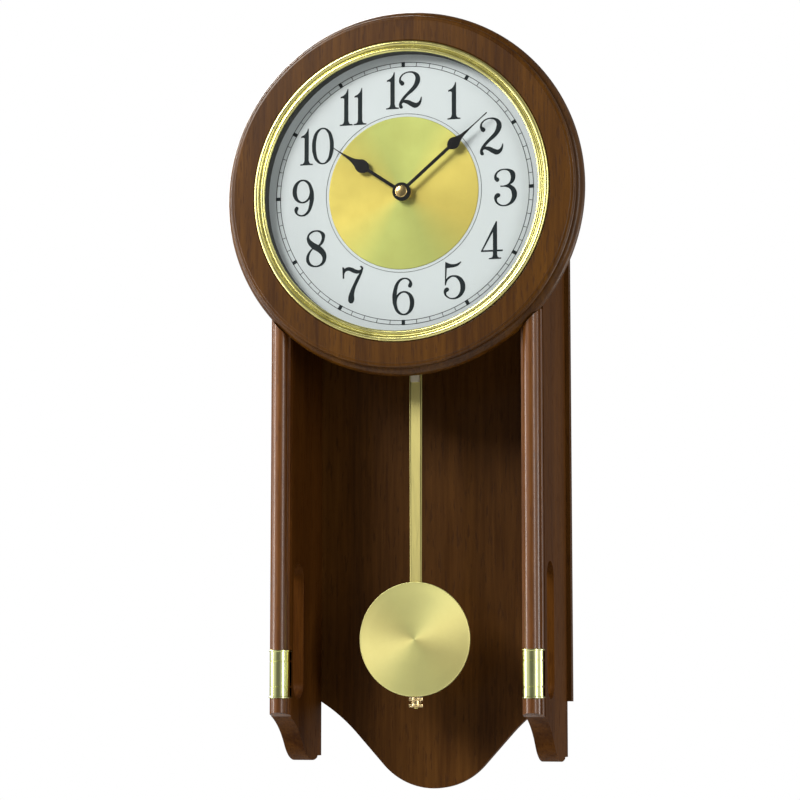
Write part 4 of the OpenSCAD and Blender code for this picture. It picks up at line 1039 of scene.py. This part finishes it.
def makeBob():
    low, high = place("bob")
    r = high.x
    front = high.z
    centreY = high.y - r
    face = front - bob["thickness"]
    inner = r - bob["rim"]
    profile = [(0, face), (r - 0.3, face), (r, face + 0.3), (r, front - bob["dome"] - bob["soft"])]
    profile += arc(r - bob["soft"], front - bob["dome"] - bob["soft"], bob["soft"], 15, 90, 5)
    profile += [(inner, front - bob["dome"] - 0.08)]
    profile += [(inner * (1 - i / 10), front - bob["dome"] * (1 - i / 10) ** 2) for i in range(1, 11)]
    disc = lathe(profile, 160)
    bmesh.ops.translate(disc, vec=(0, centreY, 0), verts=disc.verts)
    rodLow, rodHigh = place("pendulum_rod")
    wide = rodHigh.x + 0.25
    top, foot = centreY, low.y + 14
    strap = roundedBox((-bob["loop"], foot, low.z), (bob["loop"], top, rodLow.z - 0.25), 0.25, 2)
    sides = [roundedBox((x - 1.4, foot, rodLow.z - 1), (x + 1.4, top, face + 0.1), 0.2, 2)
             for x in (-wide - 1.5, wide + 1.5)]
    tongue = roundedBox((-bob["tongue"], low.y + 0.1, low.z), (bob["tongue"], foot + 0.5, low.z + 1),
                        0.25, 2)
    shelf = plate([roundedRectangle(-bob["tongue"], bob["tongue"], low.z, face + 0.1, 0.5),
                   circleOutline(0, (rodLow.z + rodHigh.z) / 2, stud["radius"] + 0.25, 24)], 0, 1.5, 0.15)
    # the shelf was drawn as (x, out); it lies level on the nut
    shelf.transform(Matrix(((1, 0, 0, 0), (0, 0, 1, low.y), (0, 1, 0, 0), (0, 0, 0, 1))))
    bmesh.ops.recalc_face_normals(shelf, faces=shelf.faces)
    addPiece("bobDisc", disc, metal["bob"], "bob", ["bob"], 20)
    addPiece("bobLoop", gather(strap, tongue, shelf, *sides), metal["steel"], "bob")


nut = {"teeth": 22, "depth": 0.45, "row": 2.3, "waist": 1.1}


def makeNut():
    low, high = place("rating_nut")
    out = (low.z + high.z) / 2
    r = high.x
    rows = [plate([knurl(r, nut["depth"], nut["teeth"]), circleOutline(0, 0, stud["radius"] + 0.05, 24)],
                  y, y + nut["row"], 0.12, 2) for y in (low.y, high.y - nut["row"])]
    waist = lathe([(stud["radius"] + 0.05, low.y + 0.5), (r - nut["waist"], low.y + 0.5),
                   (r - nut["waist"], high.y - 0.5), (stud["radius"] + 0.05, high.y - 0.5)], 40, True)
    bm = turned(gather(waist, *rows), -90, "X", (0, 0, out))
    addPiece("ratingNut", bm, metal["nut"], "nut", ["rating_nut"], 25)


makeRod()
makeStud()
makeBob()
makeNut()
print("pendulum made")

# ---- fixings on the back


def crossHead(centre, r, low, high, tip, shank):  # a screw whose head faces the wall
    a, b = r * 0.16, r * 0.62
    cross = corners([(a, a), (b, a), (b, -a), (a, -a), (a, -b), (-a, -b), (-a, -a), (-b, -a), (-b, a),
                     (-a, a), (-a, b), (a, b)])
    rim = plate([circleOutline(0, 0, r, 32), cross], low, low + (high - low) * 0.7, 0.18, 2)
    rest = lathe([(0, low + (high - low) * 0.55), (r - 0.15, low + (high - low) * 0.55), (r - 0.05, high),
                  (shank, high), (shank, tip - 1), (0, tip)], 32)
    bm = gather(rim, rest)
    bmesh.ops.translate(bm, vec=(centre.x, centre.y, 0), verts=bm.verts)
    return bm


def makeScrews():
    for node, name, head in (("case_screws", "caseScrews", 1.8), ("hanger_screws", "hangerScrews", 0.9)):
        screws = []
        for box in solidBoxes(node):
            r = (box[1].x - box[0].x) / 2
            screws.append(crossHead(middle(box), r, box[0].z, box[0].z + head, box[1].z, r / 2))
        addPiece(name, gather(*screws), metal["steel"], "case", [node])


def makeHangerPlate():
    low, high = place("hanger_plate")
    hole, slot, screwX, screwR = 5.0, 2.5, 15.0, 1.5
    centreY = low.y + 11
    join = math.degrees(math.asin(slot / hole))
    top = centreY + 10.5
    keyhole = corners(arc(0, centreY, hole, 90 + join, 450 - join, 40) + arc(0, top, slot, 0, 180, 16))
    holes = [circleOutline(x, centreY, screwR, 24) for x in (-screwX, screwX)]
    bm = plate([roundedRectangle(low.x, high.x, low.y, high.y, 1.5), keyhole, *holes], low.z, high.z, 0.25)
    addPiece("hangerPlate", bm, metal["steel"], "case", ["hanger_plate"])


def makeBumpers():
    pads = []
    for box in solidBoxes("wall_bumpers"):
        low, high = box
        r = (high.x - low.x) / 2
        pad = lathe([(0, low.z)] + arc(r - 1.2, low.z + 1.2, 1.2, -80, 0, 5) + [(r, high.z), (0, high.z)], 40)
        bmesh.ops.translate(pad, vec=(middle(box).x, middle(box).y, 0), verts=pad.verts)
        pads.append(pad)
    addPiece("wallBumpers", gather(*pads), moulded["rubber"], "case", ["wall_bumpers"])


# ---- movement
works = {"corner": 3.0, "wall": 1.6, "rib": 0.5, "bayX": 28.4, "bayLow": -44.2, "bayHigh": -15.6}


def makeMovement():
    low, high = place("movement_rear")
    wall = works["wall"]
    knob, volume, demo = (middle(place(node)) for node in ("setting_knob", "volume_knob", "demo_button"))
    levers = [place("chime_switch"), place("night_switch")]
    outline = roundedRectangle(low.x, high.x, low.y, high.y, works["corner"])
    inner = roundedRectangle(low.x + wall, high.x - wall, low.y + wall, high.y - wall,
                             works["corner"] - wall)
    bay = roundedRectangle(-works["bayX"], works["bayX"], works["bayLow"], works["bayHigh"], 1.0)
    bayIn = roundedRectangle(-works["bayX"] - wall, works["bayX"] + wall, works["bayLow"] - 0.8,
                             works["bayHigh"] + wall, 1.5)
    holes = [bay, circleOutline(knob.x, knob.y, 1.7, 24), circleOutline(volume.x, volume.y, 3.2, 24),
             circleOutline(demo.x, demo.y, 3.1, 24)]
    for box in levers:
        holes.append(roundedRectangle(box[0].x - 0.2, box[1].x + 6.2, box[0].y - 0.2, box[1].y + 0.2, 0.5))
    parts = [plate([outline, *holes], low.z, low.z + wall, 0.35),
             plate([outline, inner], low.z + wall - 0.4, high.z, 0.3),
             plate([bayIn, bay], low.z + wall - 0.4, high.z - 0.6),
             plate([bayIn], high.z - 1.6, high.z - 0.4)]
    ribX = high.x - 6
    for x in (-ribX, ribX):
        parts.append(roundedBox((x - 0.6, low.y + 8, low.z - works["rib"]), (x + 0.6, 20, low.z + 0.3),
                                0.25, 2))
    for y in (works["bayHigh"] + 5, works["bayHigh"] + 9):
        parts.append(roundedBox((-30, y - 0.5, low.z - works["rib"]), (-22, y + 0.5, low.z + 0.3), 0.25, 2))
        parts.append(roundedBox((4, y - 0.5, low.z - works["rib"]), (ribX - 6, y + 0.5, low.z + 0.3),
                                0.25, 2))
    addPiece("movementRear", gather(*parts), moulded["black"], "case", ["movement_rear"])


def makeCells():
    boxes = sorted(solidBoxes("battery_cells"), key=lambda box: box[0].y)
    cells = []
    for index, box in enumerate(boxes):
        low, high = box
        r, half = (high.y - low.y) / 2, (high.x - low.x) / 2
        profile = [(0, -half), (r - 2, -half), (r - 1.7, -half + 0.35), (r - 0.8, -half + 0.3)]
        profile += arc(r - 0.6, -half + 0.9, 0.6, -70, 0, 4) + arc(r - 0.6, half - 2.1, 0.6, 0, 90, 4)
        profile += [(2.9, half - 1.5), (2.7, half - 1.3), (2.7, half - 0.3), (2.4, half), (0, half)]
        cell = turned(lathe(profile, 48), 90 if index == 0 else -90, "Y", middle(box))
        cells.append(cell)
    between = (toWorld @ ((middle(boxes[0]) + middle(boxes[1])) / 2)).z
    wrap = cellMaterial({"between": between, "band": 0.009})
    addPiece("dryCells", gather(*cells), wrap, "case", ["battery_cells"])


def makeControls():
    low, high = place("setting_knob")
    centre = middle((low, high))
    r = (high.x - low.x) / 2
    rim = plate([knurl(r, 0.4, 40)], low.z + 0.6, high.z, 0.15)
    boss = lathe([(0, low.z), (r * 0.52, low.z), (r * 0.6, low.z + 0.2), (r * 0.62, low.z + 1.2),
                  (0, low.z + 1.2)], 40)
    knob = gather(rim, boss)
    bmesh.ops.translate(knob, vec=(centre.x, centre.y, 0), verts=knob.verts)
    addPiece("settingKnob", knob, moulded["cream"], "setter", ["setting_knob"])
    low, high = place("volume_knob")
    centre = middle((low, high))
    stem = lathe([(0, low.z + 0.6), (2.6, low.z + 0.6), (3, low.z + 0.8), (3, high.z), (0, high.z)], 32)
    grip = plate([knurl((high.x - low.x) / 2, 0.35, 30)], low.z + 1, high.z - 3.4, 0.15)
    pointer = roundedBox((-0.7, 2, low.z), (0.7, 5.4, low.z + 1.3), 0.2, 2)
    volume = gather(stem, grip, pointer)
    bmesh.ops.translate(volume, vec=(centre.x, centre.y, 0), verts=volume.verts)
    addPiece("volumeKnob", volume, moulded["cream"], "volume", ["volume_knob"])
    levers = (("chime_switch", "chimeLever", "chime"), ("night_switch", "nightLever", "night"))
    for node, name, body in levers:
        low, high = place(node)
        grip = roundedBox(low, (high.x, high.y, high.z - 1.2), 0.35, 2)
        base = roundedBox((low.x, low.y + 0.2, high.z - 1.3), (high.x, high.y - 0.2, high.z), 0.15, 2)
        ridges = [roundedBox((low.x + step, low.y + 0.3, low.z - 0.25),
                             (low.x + step + 0.5, high.y - 0.3, low.z + 0.3), 0.12, 2)
                  for step in (0.6, 1.75, 2.9)]
        addPiece(name, gather(grip, base, *ridges), moulded["cream"], body, [node])
    low, high = place("demo_button")
    centre = middle((low, high))
    r = (high.x - low.x) / 2
    button = lathe([(0, low.z), (r * 0.5, low.z + 0.12), (r - 0.5, low.z + 0.35), (r - 0.1, low.z + 0.7),
                    (r, low.z + 1.1), (r, high.z), (0, high.z)], 40)
    bmesh.ops.translate(button, vec=(centre.x, centre.y, 0), verts=button.verts)
    addPiece("demoButton", button, moulded["red"], "demo", ["demo_button"])


makeScrews()
makeHangerPlate()
makeBumpers()
makeMovement()
makeCells()
makeControls()
print("back and movement made")

# ---- finishes of the pieces that keep their own shape
kept = {
    "head_board": wood["board"], "dial_board": wood["board"], "spacer_ring": moulded["spacer"],
    "movement_front": moulded["black"], "train_plate": metal["gear"], "fixing_nut": metal["gear"],
    "circuit_board": moulded["board"], "motor_coil": metal["copper"], "stator": metal["steel"],
    "battery_contacts": metal["steel"], "speaker_frame": moulded["black"], "speaker_cone": moulded["paper"],
    "speaker_magnet": moulded["ferrite"],
    "pendulum_case": moulded["black"], "pendulum_cover": moulded["black"],
    "pendulum_coil": metal["copper"], "pivot_pin": metal["steel"], "works_bracket": metal["steel"],
    "minute_arbor": metal["gear"], "hour_wheel": moulded["gear"], "minute_wheel": moulded["gear"],
    "centre_wheel": metal["gear"], "third_wheel": moulded["gear"], "seconds_wheel": moulded["gear"],
    "fifth_wheel": moulded["gear"], "rotor": moulded["ferrite"], "pendulum_hanger": moulded["cream"],
}
for name, node in nodes.items():
    node.data.materials.clear()
    node.data.materials.append(kept.get(name, wood["board"]))
print("kept pieces finished")

# ---- studio
studio = {
    "floorDrop": 1.5, "floorRadius": 2.4, "white": 1.0, "around": 0.09, "mirrored": (0.05, 0.6),
    "lights": [
        {"name": "keyPanel", "at": (-1.45, -1.95, 1.2), "size": (1.1, 0.9), "power": 66.0,
         "color": (1.0, 0.98, 0.95)},
        {"name": "leftPanel", "at": (-1.8, -0.5, -0.1), "size": (0.5, 1.5), "power": 20.0,
         "color": (1.0, 0.97, 0.95)},
        {"name": "rightPanel", "at": (1.7, -1.3, 0.1), "size": (0.4, 1.5), "power": 13.0,
         "color": (1.0, 0.98, 0.96)},
        {"name": "lowPanel", "at": (0.3, -1.9, -1.3), "size": (1.4, 0.5), "power": 3.0,
         "color": (1.0, 0.99, 0.97)},
        {"name": "rearPanel", "at": (-1.1, 1.8, 0.9), "size": (1.2, 1.4), "power": 60.0,
         "color": (1.0, 0.99, 0.97)},
        {"name": "rearFill", "at": (2.0, 1.1, -0.6), "size": (0.8, 1.2), "power": 12.0,
         "color": (1.0, 0.99, 0.97)},
    ],
}


def addStudio():
    bm = bmesh.new()
    bmesh.ops.create_circle(bm, cap_ends=True, segments=64, radius=studio["floorRadius"])
    bmesh.ops.translate(bm, vec=(0, 0, cadBox[0][2] - studio["floorDrop"]), verts=bm.verts)
    mesh = bpy.data.meshes.new("floor")
    bm.to_mesh(mesh)
    bm.free()
    mesh.materials.append(mouldedMaterial("floorPaper", (0.86, 0.86, 0.85), (0.83, 0.83, 0.82), 0.8,
                                          300.0, 0.02, 0.0))
    floor = bpy.data.objects.new("floor", mesh)
    bpy.context.scene.collection.objects.link(floor)
    aim = Vector(view["aim"])
    for spec in studio["lights"]:
        lamp = bpy.data.lights.new(spec["name"], "AREA")
        lamp.shape = "RECTANGLE"
        lamp.size, lamp.size_y = spec["size"]
        lamp.energy = spec["power"]
        lamp.color = spec["color"]
        holder = bpy.data.objects.new(spec["name"], lamp)
        bpy.context.scene.collection.objects.link(holder)
        holder.location = spec["at"]
        holder.visible_camera = False
        holder.rotation_euler = (Vector(spec["at"]) - aim).to_track_quat("Z", "Y").to_euler()
    world = bpy.data.worlds.new("studio")
    bpy.context.scene.world = world
    world.use_nodes = True
    tree = world.node_tree
    tree.nodes.clear()
    seen = addNode(tree, "ShaderNodeBackground", {"Color": (1, 1, 1), "Strength": studio["white"]})
    # what the shiny parts mirror is brighter to the sides than straight ahead
    way = addNode(tree, "ShaderNodeTexCoord").outputs["Generated"]
    aside = calc(tree, "ABSOLUTE", addNode(tree, "ShaderNodeSeparateXYZ", {"Vector": way}).outputs["X"])
    low, high = studio["mirrored"]
    rays = addNode(tree, "ShaderNodeLightPath").outputs
    shiny = calc(tree, "MULTIPLY", rays["Is Glossy Ray"], spread(tree, aside, 0.28, 0.7, low, high))
    strength = calc(tree, "ADD", shiny, studio["around"])
    lit = addNode(tree, "ShaderNodeBackground", {"Color": (1, 0.99, 0.97), "Strength": strength})
    straight = rays["Is Camera Ray"]
    mix = addNode(tree, "ShaderNodeMixShader", {0: straight, 1: lit.outputs[0], 2: seen.outputs[0]})
    out = addNode(tree, "ShaderNodeOutputWorld")
    tree.links.new(mix.outputs[0], out.inputs["Surface"])
    bpy.context.scene.view_settings.view_transform = "Standard"


addStudio()
print("studio ready")
